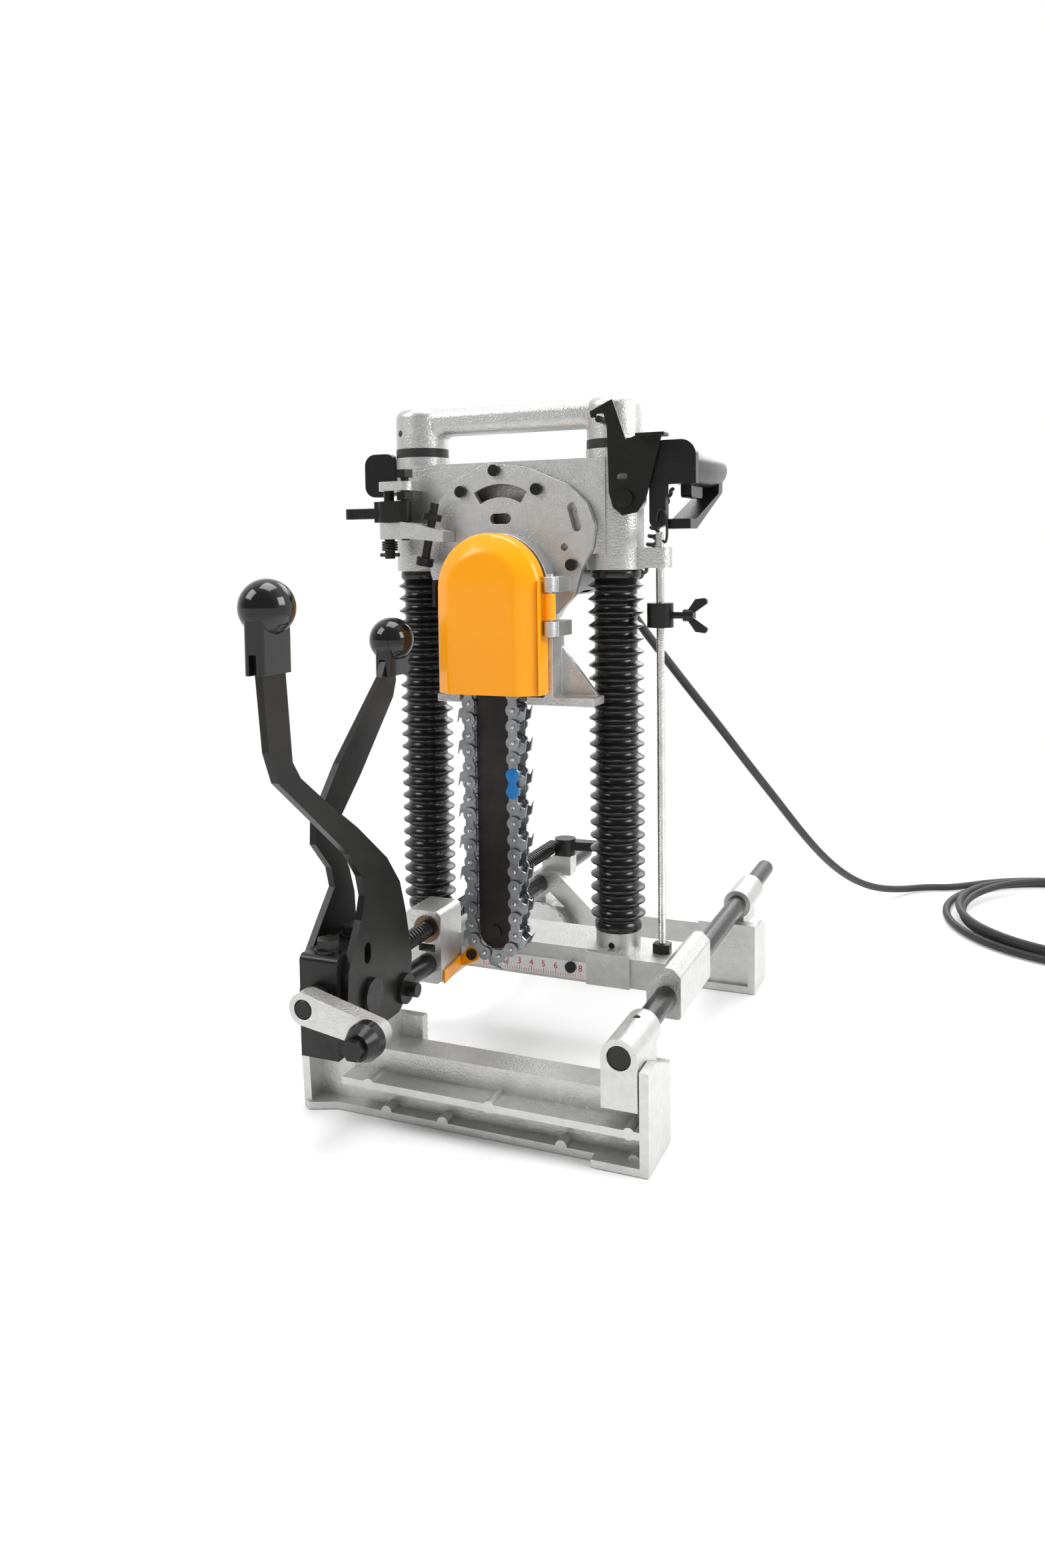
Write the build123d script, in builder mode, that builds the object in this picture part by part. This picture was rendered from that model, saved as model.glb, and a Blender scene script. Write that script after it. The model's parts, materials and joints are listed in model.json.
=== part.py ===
"""Portable chain mortiser for timber framing.

A motor head with a chain and guide bar slides down two bellows-covered columns.
The columns stand on a carriage that a crank and lead screw feed along two guide rods,
between a front jaw and a sliding rear jaw that grip the timber.

Frame: +Z up, +X to the right of someone facing the front jaw, +Y to the back.
The origin is on the underside of the front jaw, in the centre plane of the guide bar.
All sizes are in millimetres.
"""
from build123d import *

import os
from math import acos, atan2, cos, degrees, pi, radians, sin, tan

os.makedirs("parts", exist_ok=True)

# ---------------------------------------------------------------- driving dimensions
# clearances
slide_fit = 0.05          # radial, shafts that slide or turn in their bores
# guide rods and lead screw
rod_r = 8.0
rod_z = 73.0
rod_left_x = -54.0
rod_right_x = 134.0
rod_rear_y = 429.0
screw_r = 6.5
screw_z = 100.0
screw_rear_y = 343.0
# front jaw
jaw_left_x = -99.0
jaw_right_x = 153.0
jaw_half_depth = 12.0
jaw_rib_depth = 18.0
jaw_height = 44.0
jaw_wall = 6.0
pad_depth = 8.0
boss_wall = 4.0
# rear jaw
rear_face_y = 287.0
rear_boss_length = 55.0
# carriage and columns
column_y = 133.0
column_x = 80.5
column_r = 11.0
beam_front_y = 109.0
beam_rear_y = 160.0
beam_bottom_z = 62.0
deck_z = 84.0
foot_front_y = 75.0
foot_bottom_z = 58.0
column_boss_r = 17.0
column_boss_top_z = 99.0
cuff_height = 7.0
# head
head_bottom_z = 372.0
head_top_z = 454.0
head_boss_r = 21.5
head_boss_top_z = 461.0
bumper_height = 7.0
head_front_y = 109.0
head_rear_y = 156.0
# handle
handle_leg_r = 20.5
handle_top_z = 499.0
handle_bar_height = 21.0
handle_bar_depth = 27.0
handle_corner_r = 10.0
# bellows
bellows_od = 42.0
bellows_valley = 34.0
bellows_wall = 1.4
bellows_folds = 26
# guide bar and chain
bar_y = 87.6
bar_half_width = 12.8
bar_thickness = 9.0
nose_z = 102.0
spindle_z = 358.0
chain_pitch = 12.0
chain_pitches = 52
link_thickness = 1.8
# gears between motor and spindle
gear_teeth = 36
pinion_teeth = 18
motor_offset = 36.0
gear_width = 9.0
# motor
motor_r = 46.0
motor_wall = 3.0
motor_length = 106.0
# chain cover
cover_left_x = -37.0
cover_right_x = 45.0
cover_bottom_z = 283.0
cover_top_z = 400.0
cover_front_y = 63.0
cover_rear_y = 84.0
cover_wall = 2.0
hinge_x = 50.5
hinge_y = 75.0
# depth stop
depth_rod_x = 115.0
depth_rod_r = 3.0
depth_rod_top_z = 399.0
collar_z = 338.0
collar_height = 18.0
# clamp levers
pivot_y = -41.0
pivot_z = 94.0
pivot_r = 7.0
lever_thickness = 5.0
bracket_half_width = 14.0
ball_r = 16.5
# crank
crank_reach = 49.0
crank_drop = 10.0
crank_y = -92.0
crank_thickness = 12.0
knob_length = 17.0
# mains cord
cord_d = 7.5
coil_x = 432.0
coil_y = 588.0

screw_x = rod_left_x
rod_front_y = -jaw_half_depth - jaw_rib_depth + 1
jaw_front_y = -jaw_half_depth - jaw_rib_depth
boss_r = rod_r + boss_wall
motor_z = spindle_z + motor_offset
bracket_left_x = screw_x - bracket_half_width
bracket_right_x = screw_x + bracket_half_width


# ---------------------------------------------------------------- small modelling aids
def front_plane(y):
    """Sketch plane facing the front at depth y; sketch axes are X and Z."""
    return Plane(origin=(0, y, 0), x_dir=(1, 0, 0), z_dir=(0, -1, 0))


def side_plane(x):
    """Sketch plane facing +X at x; sketch axes are Y and Z."""
    return Plane(origin=(x, 0, 0), x_dir=(0, 1, 0), z_dir=(1, 0, 0))


def block(x0, x1, y0, y1, z0, z1, mode=Mode.ADD):
    """A box between two corners, in the part being built."""
    with Locations(((x0 + x1) / 2, (y0 + y1) / 2, (z0 + z1) / 2)):
        Box(x1 - x0, y1 - y0, z1 - z0, mode=mode)


def bar_along_z(x, y, z0, z1, r, mode=Mode.ADD):
    """A round bar or hole along Z."""
    with Locations((x, y, (z0 + z1) / 2)):
        Cylinder(r, z1 - z0, mode=mode)


def bar_along_y(x, z, y0, y1, r, mode=Mode.ADD):
    """A round bar or hole along Y."""
    with Locations(Location((x, (y0 + y1) / 2, z), (90, 0, 0))):
        Cylinder(r, y1 - y0, mode=mode)


def bar_along_x(y, z, x0, x1, r, mode=Mode.ADD):
    """A round bar or hole along X."""
    with Locations(Location(((x0 + x1) / 2, y, z), (0, 90, 0))):
        Cylinder(r, x1 - x0, mode=mode)


def hexagon_z(x, y, z0, z1, across_flats):
    """A hexagon head or nut whose axis is along Z."""
    with BuildSketch(Plane.XY.offset(z0)) as outline:
        with Locations((x, y)):
            RegularPolygon(across_flats / 2, 6, major_radius=False)
    extrude(outline.sketch, amount=z1 - z0)


def hexagon_y(x, z, y0, y1, across_flats):
    """A hexagon head or nut whose axis is along Y."""
    with BuildSketch(front_plane(y0)) as outline:
        with Locations((x, z)):
            RegularPolygon(across_flats / 2, 6, major_radius=False)
    extrude(outline.sketch, amount=y0 - y1)


def save(builder, name):
    """Label a finished piece and write it to its own file."""
    builder.part.label = name
    export_step(builder.part, f"parts/{name}.step")


# ================================================================ BASE
def serrated_profile(face_y, depth, z0, z1, teeth):
    """Side outline of a grip pad whose far edge is a row of ridges."""
    pitch = (z1 - z0) / teeth
    ridge = 1.2 if depth > 0 else -1.2
    points = [(face_y, z0)]
    for tooth in range(teeth):
        points.append((face_y + depth - ridge, z0 + tooth * pitch))
        points.append((face_y + depth, z0 + (tooth + 0.5) * pitch))
    points.append((face_y + depth - ridge, z1))
    points.append((face_y, z1))
    return points


left_pad_x = (-52.0, -25.0)
right_pad_x = (128.0, jaw_right_x)
with BuildPart() as front_jaw:
    # back wall with flanges above and below, like a channel lying on its side
    block(jaw_left_x, jaw_right_x, -jaw_half_depth, -jaw_half_depth + jaw_wall, 0, jaw_height)
    block(jaw_left_x, jaw_right_x, -jaw_half_depth, jaw_half_depth, jaw_height - jaw_wall, jaw_height)
    block(jaw_left_x + 14, jaw_right_x, jaw_front_y + 8, jaw_half_depth, 0, 5)
    # ribs: one long shelf in front, and short uprights behind
    block(-66, jaw_right_x - 4, jaw_front_y, -jaw_half_depth, 23, 28)
    for rib_x in (-60, -10, 40, 90):
        block(rib_x - 2.5, rib_x + 2.5, -jaw_half_depth, jaw_half_depth, 0, jaw_height)
    # end walls
    with BuildSketch(side_plane(jaw_right_x - jaw_wall)):
        with BuildLine():
            Polyline((jaw_front_y, 0), (jaw_half_depth, 0), (jaw_half_depth, 56), (-12, 66),
                     (jaw_front_y, 66), close=True)
        make_face()
    extrude(amount=jaw_wall)
    with BuildSketch(side_plane(jaw_left_x)):
        with BuildLine():
            Polyline((jaw_front_y + 4, 0), (jaw_half_depth, 0), (jaw_half_depth, 48), (-8, 60),
                     (jaw_front_y, 60), close=True)
        make_face()
    extrude(amount=jaw_wall)
    # curved left corner, from the outer wall back to the channel
    with BuildSketch(Plane.XY):
        with BuildLine():
            Polyline((jaw_left_x + 1, jaw_front_y + 4), (jaw_left_x + 6, jaw_front_y),
                     (-66, -18), (-56, -jaw_half_depth), (jaw_left_x + 1, -jaw_half_depth), close=True)
        make_face()
    extrude(amount=5)
    block(115, jaw_right_x, jaw_front_y, -jaw_half_depth, 0, 5)
    # grip pads
    with BuildSketch(side_plane(left_pad_x[0])):
        with BuildLine():
            Polyline(*serrated_profile(jaw_half_depth, pad_depth, 0, 60, 12), close=True)
        make_face()
    extrude(amount=left_pad_x[1] - left_pad_x[0])
    with BuildSketch(side_plane(right_pad_x[0])):
        with BuildLine():
            Polyline(*serrated_profile(jaw_half_depth, pad_depth, 0, 55, 11), close=True)
        make_face()
    extrude(amount=right_pad_x[1] - right_pad_x[0])
    block(right_pad_x[0], right_pad_x[1], -jaw_half_depth, jaw_half_depth, jaw_height, 50)
    # rod bosses on necks
    for boss_x, boss_front in ((rod_right_x, jaw_front_y), (rod_left_x, -jaw_half_depth)):
        bar_along_y(boss_x, rod_z, boss_front, jaw_half_depth + 10, boss_r)
        block(boss_x - boss_r, boss_x + boss_r, boss_front, jaw_half_depth, jaw_height - 4, rod_z)
    # half-round ejector bosses on the ribs
    for bump_x, bump_z in ((-36, 5), (7, 5), (92, 5), (141, 5), (45, 26), (140, 26), (-45, 26)):
        bar_along_y(bump_x, bump_z, jaw_front_y + 8 * (bump_z < 20), -jaw_half_depth, 4)
    for bore_x in (rod_left_x, rod_right_x):
        bar_along_y(bore_x, rod_z, jaw_front_y - 1, jaw_half_depth + 12, rod_r, Mode.SUBTRACT)
    # set-screw holes over the rods
    for bore_x in (rod_left_x, rod_right_x):
        bar_along_z(bore_x, 8, rod_z, rod_z + 20, 2.5, Mode.SUBTRACT)
    split(bisect_by=Plane.XY, keep=Keep.TOP)
save(front_jaw, "front_jaw")


def guide_rod(x, front_y):
    with BuildPart() as rod:
        bar_along_y(x, rod_z, front_y, rod_rear_y, rod_r)
        chamfer(rod.faces().sort_by(Axis.Y)[-1].edges(), 1.0)
        chamfer(rod.faces().sort_by(Axis.Y)[0].edges(), 0.6)
    return rod


guide_rod_right = guide_rod(rod_right_x, rod_front_y)
save(guide_rod_right, "guide_rod_right")
bracket_front_y = -74.0
bracket_rear_y = -jaw_half_depth - 0.2
bracket_top_z = 128.0
bracket_bottom_z = rod_z - boss_r
guide_rod_left = guide_rod(rod_left_x, bracket_front_y + 6)
save(guide_rod_left, "guide_rod_left")

with BuildPart() as screw_bracket:
    block(bracket_left_x, bracket_right_x, bracket_front_y, bracket_rear_y, bracket_bottom_z, bracket_top_z)
    fillet(screw_bracket.edges().filter_by(Axis.X).group_by(Axis.Z)[-1], 4)
    bar_along_y(rod_left_x, rod_z, bracket_front_y + 5, bracket_rear_y + 1, rod_r, Mode.SUBTRACT)
    bar_along_y(screw_x, screw_z, bracket_front_y - 1, bracket_rear_y + 1, screw_r + slide_fit, Mode.SUBTRACT)
    for side, x in ((1, bracket_right_x), (-1, bracket_left_x)):
        bar_along_x(pivot_y, pivot_z, min(x, x - side * 5), max(x, x - side * 5), pivot_r, Mode.SUBTRACT)
    for bolt_y in (-61, -29):
        bar_along_z(screw_x, bolt_y, bracket_top_z - 16, bracket_top_z + 1, 4, Mode.SUBTRACT)
save(screw_bracket, "screw_bracket")

with BuildPart() as base_screws:
    # two hexagon bolts on the bracket
    for bolt_y in (-61, -29):
        bar_along_z(screw_x, bolt_y, bracket_top_z - 16, bracket_top_z, 4)
        bar_along_z(screw_x, bolt_y, bracket_top_z, bracket_top_z + 2, 9.5)
        hexagon_z(screw_x, bolt_y, bracket_top_z + 2, bracket_top_z + 8, 14)
    # grub screws that lock the rods in the jaw
    for bore_x in (rod_left_x, rod_right_x):
        bar_along_z(bore_x, 8, rod_z + rod_r, rod_z + rod_r + 3.4, 2.5)
save(base_screws, "base_screws")

stub_head = 3.0
with BuildPart() as lever_pivots:
    for side, x in ((1, bracket_right_x), (-1, bracket_left_x)):
        inner = x - side * 5
        shoulder = x + side * (lever_thickness + 0.7)
        outer = shoulder + side * stub_head
        bar_along_x(pivot_y, pivot_z, min(inner, shoulder), max(inner, shoulder), pivot_r)
        bar_along_x(pivot_y, pivot_z, min(shoulder, outer), max(shoulder, outer), pivot_r + 4)
save(lever_pivots, "lever_pivots")


# ================================================================ CLAMP LEVERS
def clamp_lever(x0, outline, stud):
    """Flat steel lever with its pivot hole; the stud is the link pin welded near its foot."""
    with BuildPart() as lever:
        with BuildSketch(side_plane(x0)):
            with BuildLine():
                Polyline(*outline, close=True)
            make_face()
            fillet(vertices().sort_by(Axis.Y)[0:2], 8)
            with Locations((pivot_y, pivot_z)):
                Circle(pivot_r + slide_fit, mode=Mode.SUBTRACT)
            with Locations((pivot_y - 3, pivot_z + 29)):
                SlotOverall(14, 8, rotation=90, mode=Mode.SUBTRACT)
        extrude(amount=lever_thickness)
        if stud:
            outer_x = x0 + lever_thickness
            bar_along_x(stud[0], stud[1], outer_x, outer_x + 3, 10.5)
            bar_along_x(stud[0], stud[1], outer_x + 3, outer_x + 11, 5)
    return lever


def ball_knob(x, y, z, lever_x0, neck_foot_z):
    """Black ball grip with a square socket that takes the end of a flat lever."""
    with BuildPart() as knob:
        with Locations((x, y, z)):
            Sphere(ball_r)
        block(x - 6.5, x + 6.5, y - 15, y + 15, neck_foot_z, z)
        fillet(knob.edges().filter_by(Axis.Z), 3)
        block(lever_x0, lever_x0 + lever_thickness, y - 30, y + 30, neck_foot_z - 1, neck_foot_z + 12,
              Mode.SUBTRACT)
    return knob


front_lever_x = bracket_right_x + 0.3
rear_lever_x = bracket_left_x - 0.3 - lever_thickness
front_outline = [(-153, 330), (-147, 273), (-139, 254), (-98, 221), (-64, 194), (-50, 176), (-46, 162),
                 (-51, 147), (-68, 118), (-70, 96), (-56, 74), (-29, 68), (-3, 68), (13, 80), (16, 102),
                 (8, 138), (1, 159), (-16, 180), (-53, 209), (-90, 234), (-116, 253), (-124, 264), (-130, 330)]
rear_outline = [(46, 307), (40, 296), (-20, 243), (-50, 209), (-51, 194), (-33, 174), (-29, 160), (-45, 142),
                (-62, 122), (-68, 96), (-56, 76), (-36, 68), (-14, 76), (-4, 96), (-2, 122), (-4, 150),
                (-10, 168), (-22, 188), (-22, 204), (8, 231), (56, 280), (61, 292), (59, 307)]
clamp_lever_front = clamp_lever(front_lever_x, front_outline, (4, 82))
save(clamp_lever_front, "clamp_lever_front")
clamp_lever_rear = clamp_lever(rear_lever_x, rear_outline, None)
save(clamp_lever_rear, "clamp_lever_rear")
ball_knob_front = ball_knob(front_lever_x + lever_thickness / 2, -142, 356, front_lever_x, 318)
save(ball_knob_front, "ball_knob_front")
ball_knob_rear = ball_knob(rear_lever_x + lever_thickness / 2, 60, 322, rear_lever_x, 296)
save(ball_knob_rear, "ball_knob_rear")

# ================================================================ LEAD SCREW AND CRANK
with BuildPart() as lead_screw:
    bar_along_y(screw_x, screw_z, crank_y + 2, screw_rear_y, screw_r)
    # thrust collar in front of the bracket
    bar_along_y(screw_x, screw_z, crank_y + crank_thickness, bracket_front_y - 0.2, 10)
    chamfer(lead_screw.faces().sort_by(Axis.Y)[-1].edges(), 1)
save(lead_screw, "lead_screw")

crank_end_x = screw_x + crank_reach
crank_end_z = screw_z - crank_drop
with BuildPart() as crank_arm:
    with BuildSketch(front_plane(crank_y)):
        with Locations((screw_x, screw_z)):
            Circle(10.5)
        with Locations((crank_end_x, crank_end_z)):
            Circle(8)
        make_hull()
    extrude(amount=-crank_thickness)
    bar_along_y(screw_x, screw_z, crank_y - 1, crank_y + crank_thickness + 1, screw_r, Mode.SUBTRACT)
    # spigot for the knob, with a nut on its end
    spigot_y = crank_y - knob_length - 0.8
    bar_along_y(crank_end_x, crank_end_z, spigot_y - 4, crank_y, 4)
    hexagon_y(crank_end_x, crank_end_z, spigot_y - 5, spigot_y, 12)
save(crank_arm, "crank_arm")

with BuildPart() as crank_knob:
    knob_plane = Plane(origin=(crank_end_x, crank_y - 0.4, crank_end_z), x_dir=(1, 0, 0), z_dir=(0, 0, 1))
    with BuildSketch(knob_plane):
        with BuildLine():
            Polyline((4 + slide_fit, 0), (10.5, 0), (12, -2), (12, -9), (10, -14), (8.6, -knob_length),
                     (4 + slide_fit, -knob_length), close=True)
        make_face()
    revolve(axis=Axis((crank_end_x, 0, crank_end_z), (0, 1, 0)))
save(crank_knob, "crank_knob")

# ================================================================ REAR JAW
rear_boss_y = rear_face_y + 16
rear_boss_end_y = rear_boss_y + rear_boss_length
pad_x = -49.0
pad_z = 32.0
pad_r = 28.0
with BuildPart() as rear_jaw:
    # right grip wall, a shallow panel inside a flat rim
    grip_wall_x = 103.0
    rim = 6.0
    block(grip_wall_x, jaw_right_x, rear_face_y, rear_face_y + 12, 0, 60)
    block(grip_wall_x + rim, jaw_right_x - rim, rear_face_y - 1, rear_face_y + 4, rim, 54, Mode.SUBTRACT)
    for wall_x in (grip_wall_x, jaw_right_x - 5):
        block(wall_x, wall_x + 5, rear_face_y + 6, rear_boss_y + 30, 0, 52)
    block(grip_wall_x, jaw_right_x, rear_face_y + 6, rear_boss_y + 30, 0, 5)
    # cross beam behind the timber space
    block(-66, 140, rear_boss_y + 2, rear_boss_y + 9, 12, 52)
    block(-66, 140, rear_boss_y + 2, rear_boss_y + 24, 46, 52)
    block(-66, 140, rear_boss_y + 2, rear_boss_y + 24, 12, 17)
    # diagonal strut and housing wall for the sprung pad
    with BuildSketch(front_plane(rear_boss_y)):
        with BuildLine():
            Polyline((-44, 84), (-36, 84), (12, 40), (12, 26), (2, 26), (-44, 66), close=True)
        make_face()
    extrude(amount=-8)
    bar_along_y(pad_x, pad_z, rear_boss_y - 2, rear_boss_y + 12, 22)
    for boss_x in (rod_left_x, rod_right_x):
        bar_along_y(boss_x, rod_z, rear_boss_y, rear_boss_end_y, boss_r)
        block(boss_x - 6, boss_x + 6, rear_boss_y, rear_boss_end_y - 8, 50, rod_z)
    # clamp ears over the left rod
    block(rod_left_x - 3, rod_left_x + 26, rear_boss_y + 14, rear_boss_y + 30, rod_z + 6, rod_z + 24)
    for bore_x in (rod_left_x, rod_right_x):
        bar_along_y(bore_x, rod_z, rear_boss_y - 1, rear_boss_end_y + 1, rod_r + slide_fit, Mode.SUBTRACT)
    bar_along_y(screw_x, screw_z, rear_boss_y - 10, rear_boss_end_y + 10, screw_r + 2, Mode.SUBTRACT)
    bar_along_y(pad_x, pad_z, rear_boss_y - 3, rear_boss_y + 40, 6 + slide_fit, Mode.SUBTRACT)
    # stud hole for the lock lever
    lock_x = rod_left_x + 18
    lock_y = rear_boss_y + 22
    bar_along_z(lock_x, lock_y, rod_z + 8, rod_z + 26, 4 + slide_fit, Mode.SUBTRACT)
    split(bisect_by=Plane.XY, keep=Keep.TOP)
save(rear_jaw, "rear_jaw")

with BuildPart() as pressure_pad:
    # toothed disc on a stem, with a cup behind it that hides the spring seat
    bar_along_y(pad_x, pad_z, rear_face_y, rear_face_y + 4, pad_r)
    bar_along_y(pad_x, pad_z, rear_face_y + 4, rear_boss_y + 34, 6)
    for notch in range(18):
        angle = radians(notch * 20)
        with Locations((pad_x + pad_r * cos(angle), rear_face_y, pad_z + pad_r * sin(angle))):
            Box(2.4, 2.4, 2.4, mode=Mode.SUBTRACT)
save(pressure_pad, "pressure_pad")

spring_turns = 3
with BuildPart() as pad_spring:
    # three open coils around the stem, resting on the jaw
    for turn in range(spring_turns):
        ring_y = rear_boss_y - 3.2 - turn * 2.4
        with Locations(Location((pad_x, ring_y, pad_z), (90, 0, 0))):
            Torus(13 + 2.6 * turn, 1.1)
save(pad_spring, "pad_spring")

with BuildPart() as rod_lock_lever:
    bar_along_z(lock_x, lock_y, rod_z + 9, rod_z + 25, 4)
    bar_along_z(lock_x, lock_y, rod_z + 24 + 0.4, rod_z + 40, 10)
    with BuildSketch(Plane.XY.offset(rod_z + 30)):
        with Locations((lock_x, lock_y)):
            Circle(7)
        with Locations((lock_x + 42, lock_y + 4)):
            Circle(5)
        make_hull()
    extrude(amount=8)
save(rod_lock_lever, "rod_lock_lever")

# ================================================================ CARRIAGE
right_foot_x = (rod_right_x - 14, rod_right_x + 11)
left_foot_x = (rod_left_x - 18, rod_left_x + 12)
nut_r = 10.5
nut_housing_top_z = 114.0
nut_housing_rear_y = 110.0
beam_wall = 6.0
boss_y0 = column_y - 27
with BuildPart() as carriage:
    # beam: a box open below, with cross ribs
    block(left_foot_x[0], right_foot_x[1], beam_front_y, beam_rear_y, beam_bottom_z, deck_z + 4)
    for pocket_x in (left_foot_x[1] + 5, 4, 43):
        block(pocket_x, pocket_x + 34, beam_front_y + beam_wall, beam_rear_y - beam_wall,
              beam_bottom_z - 1, deck_z - 2, Mode.SUBTRACT)
    block(column_x + 8, right_foot_x[1] + 1, beam_front_y - 1, beam_rear_y + 1, deck_z, deck_z + 5, Mode.SUBTRACT)
    # feet around the rods
    with BuildSketch(front_plane(foot_front_y)):
        with Locations(((left_foot_x[0] + left_foot_x[1]) / 2, (foot_bottom_z + nut_housing_top_z) / 2)):
            RectangleRounded(left_foot_x[1] - left_foot_x[0], nut_housing_top_z - foot_bottom_z, 5)
    extrude(amount=foot_front_y - nut_housing_rear_y)
    block(left_foot_x[0], left_foot_x[1], foot_front_y + 5, beam_rear_y, foot_bottom_z, deck_z + 4)
    with BuildSketch(front_plane(foot_front_y)):
        with BuildLine():
            Polyline((right_foot_x[0], deck_z - 4), (right_foot_x[0], 66), (right_foot_x[0] + 4, foot_bottom_z),
                     (right_foot_x[1], foot_bottom_z), (right_foot_x[1], 88), (right_foot_x[1] - 6, 94),
                     (right_foot_x[1] - 12, 94), close=True)
        make_face()
        fillet(vertices(), 2.5)
    extrude(amount=foot_front_y - beam_rear_y)
    # column bosses
    for side in (-1, 1):
        bar_along_z(side * column_x, column_y, beam_bottom_z, column_boss_top_z, column_boss_r)
        block(side * column_x - column_boss_r, side * column_x + column_boss_r, boss_y0, column_y,
              beam_bottom_z, column_boss_top_z - 12)
    # square window between the rod and the lead screw
    block(screw_x - 7, screw_x + 7, foot_front_y - 1, foot_front_y + 16, rod_z + 9.5, screw_z - nut_r - 1,
          Mode.SUBTRACT)
    bar_along_y(screw_x, screw_z, foot_front_y - 1, foot_front_y + 24, nut_r, Mode.SUBTRACT)
    bar_along_y(screw_x, screw_z, foot_front_y + 20, beam_rear_y + 1, screw_r + 1.5, Mode.SUBTRACT)
    for bore_x in (rod_left_x, rod_right_x):
        bar_along_y(bore_x, rod_z, foot_front_y - 1, beam_rear_y + 1, rod_r + slide_fit, Mode.SUBTRACT)
    for side in (-1, 1):
        bar_along_z(side * column_x, column_y, beam_bottom_z + 6, column_boss_top_z + 1, column_r, Mode.SUBTRACT)
    bar_along_z(depth_rod_x, column_y, beam_bottom_z + 4, deck_z + 1, depth_rod_r, Mode.SUBTRACT)
    # screw holes on the front face and set-screw holes over the columns
    for hole_x in (-31, 51):
        bar_along_y(hole_x, 73, beam_front_y - 1, beam_front_y + 5, 2, Mode.SUBTRACT)
    for side in (-1, 1):
        bar_along_y(side * column_x, 90, boss_y0 - 12, column_y - column_r + 0.5, 2.5, Mode.SUBTRACT)
save(carriage, "carriage")

with BuildPart() as feed_nut:
    bar_along_y(screw_x, screw_z, foot_front_y - 1, foot_front_y + 20, nut_r)
    bar_along_y(screw_x, screw_z, foot_front_y - 2, foot_front_y + 21, screw_r + slide_fit, Mode.SUBTRACT)
save(feed_nut, "feed_nut")

handle_bottom_z = head_boss_top_z + bumper_height


def column(side):
    with BuildPart() as post:
        bar_along_z(side * column_x, column_y, beam_bottom_z + 6, handle_top_z - 8, column_r)
        chamfer(post.faces().sort_by(Axis.Z)[-1].edges(), 1)
    return post


column_left = column(-1)
save(column_left, "column_left")
column_right = column(1)
save(column_right, "column_right")


def bellows(side):
    """Corrugated rubber sleeve with a plain cuff at each end, one wall thick."""
    x = side * column_x
    foot_z = column_boss_top_z
    top_z = head_bottom_z - 0.3
    fold_z0 = foot_z + cuff_height
    fold_z1 = top_z - cuff_height
    pitch = (fold_z1 - fold_z0) / bellows_folds
    valley = bellows_valley / 2
    peak = bellows_od / 2
    outer = [(valley, foot_z), (valley, fold_z0)]
    inner = [(valley - bellows_wall, foot_z), (valley - bellows_wall, fold_z0)]
    for fold in range(bellows_folds):
        z = fold_z0 + fold * pitch
        outer.append((peak, z + pitch / 2))
        outer.append((valley, z + pitch))
        inner.append((peak - bellows_wall, z + pitch / 2))
        inner.append((valley - bellows_wall, z + pitch))
    outer.append((valley, top_z))
    inner.append((valley - bellows_wall, top_z))
    with BuildPart() as sleeve:
        with BuildSketch(Plane(origin=(x, column_y, 0), x_dir=(1, 0, 0), z_dir=(0, -1, 0))):
            with BuildLine():
                Polyline(*outer, *reversed(inner), close=True)
            make_face()
        revolve(axis=Axis((x, column_y, 0), (0, 0, 1)))
    return sleeve


bellows_left = bellows(-1)
save(bellows_left, "bellows_left")
bellows_right = bellows(1)
save(bellows_right, "bellows_right")


spring_r = 13.4
spring_wire_r = 1.2
spring_pitch = 14.0
spring_base_z = column_boss_top_z + 2
with BuildPart() as return_springs:
    # one coil spring around each column, inside the bellows
    for side in (-1, 1):
        with BuildLine():
            Helix(pitch=spring_pitch, height=head_bottom_z - 3 - spring_base_z, radius=spring_r,
                  center=(side * column_x, column_y, spring_base_z))
        wire_start = (side * column_x + spring_r, column_y, spring_base_z)
        with BuildSketch(Plane(origin=wire_start, z_dir=(0, 1, 0.166))):
            Circle(spring_wire_r)
        sweep(is_frenet=True)
save(return_springs, "return_springs")

with BuildPart() as handle_bar:
    # rounded grip bar whose inner corners run down into the legs
    gap_width = 2 * (column_x - handle_leg_r + 5)
    gap_height = handle_top_z - handle_bar_height - handle_bottom_z + 2 * handle_corner_r
    with BuildSketch(front_plane(column_y - handle_bar_depth / 2)):
        with Locations((0, (handle_bottom_z + handle_top_z - 0.5) / 2)):
            Rectangle(2 * column_x, handle_top_z - 0.5 - handle_bottom_z)
        with Locations((0, handle_top_z - handle_bar_height - gap_height / 2)):
            RectangleRounded(gap_width, gap_height, handle_corner_r, mode=Mode.SUBTRACT)
    extrude(amount=-handle_bar_depth)
    fillet(handle_bar.faces().filter_by(Axis.Y).edges(), 8)

with BuildPart() as top_handle:
    for side in (-1, 1):
        bar_along_z(side * column_x, column_y, handle_bottom_z, handle_top_z, handle_leg_r)
    fillet(top_handle.faces().sort_by(Axis.Z)[-2:].edges(), 7)
    add(handle_bar.part)
    for side in (-1, 1):
        bar_along_z(side * column_x, column_y, handle_bottom_z - 1, handle_top_z - 8, column_r,
                    Mode.SUBTRACT)
        bar_along_y(side * column_x - 10 * (side < 0), 480, column_y - 25, column_y - 10, 2.5, Mode.SUBTRACT)
save(top_handle, "top_handle")

with BuildPart() as bumper_rings:
    for side in (-1, 1):
        bar_along_z(side * column_x, column_y, head_boss_top_z + 0.3, handle_bottom_z, handle_leg_r + 0.3)
        bar_along_z(side * column_x, column_y, head_boss_top_z, handle_bottom_z + 1, column_r, Mode.SUBTRACT)
save(bumper_rings, "bumper_rings")

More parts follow.
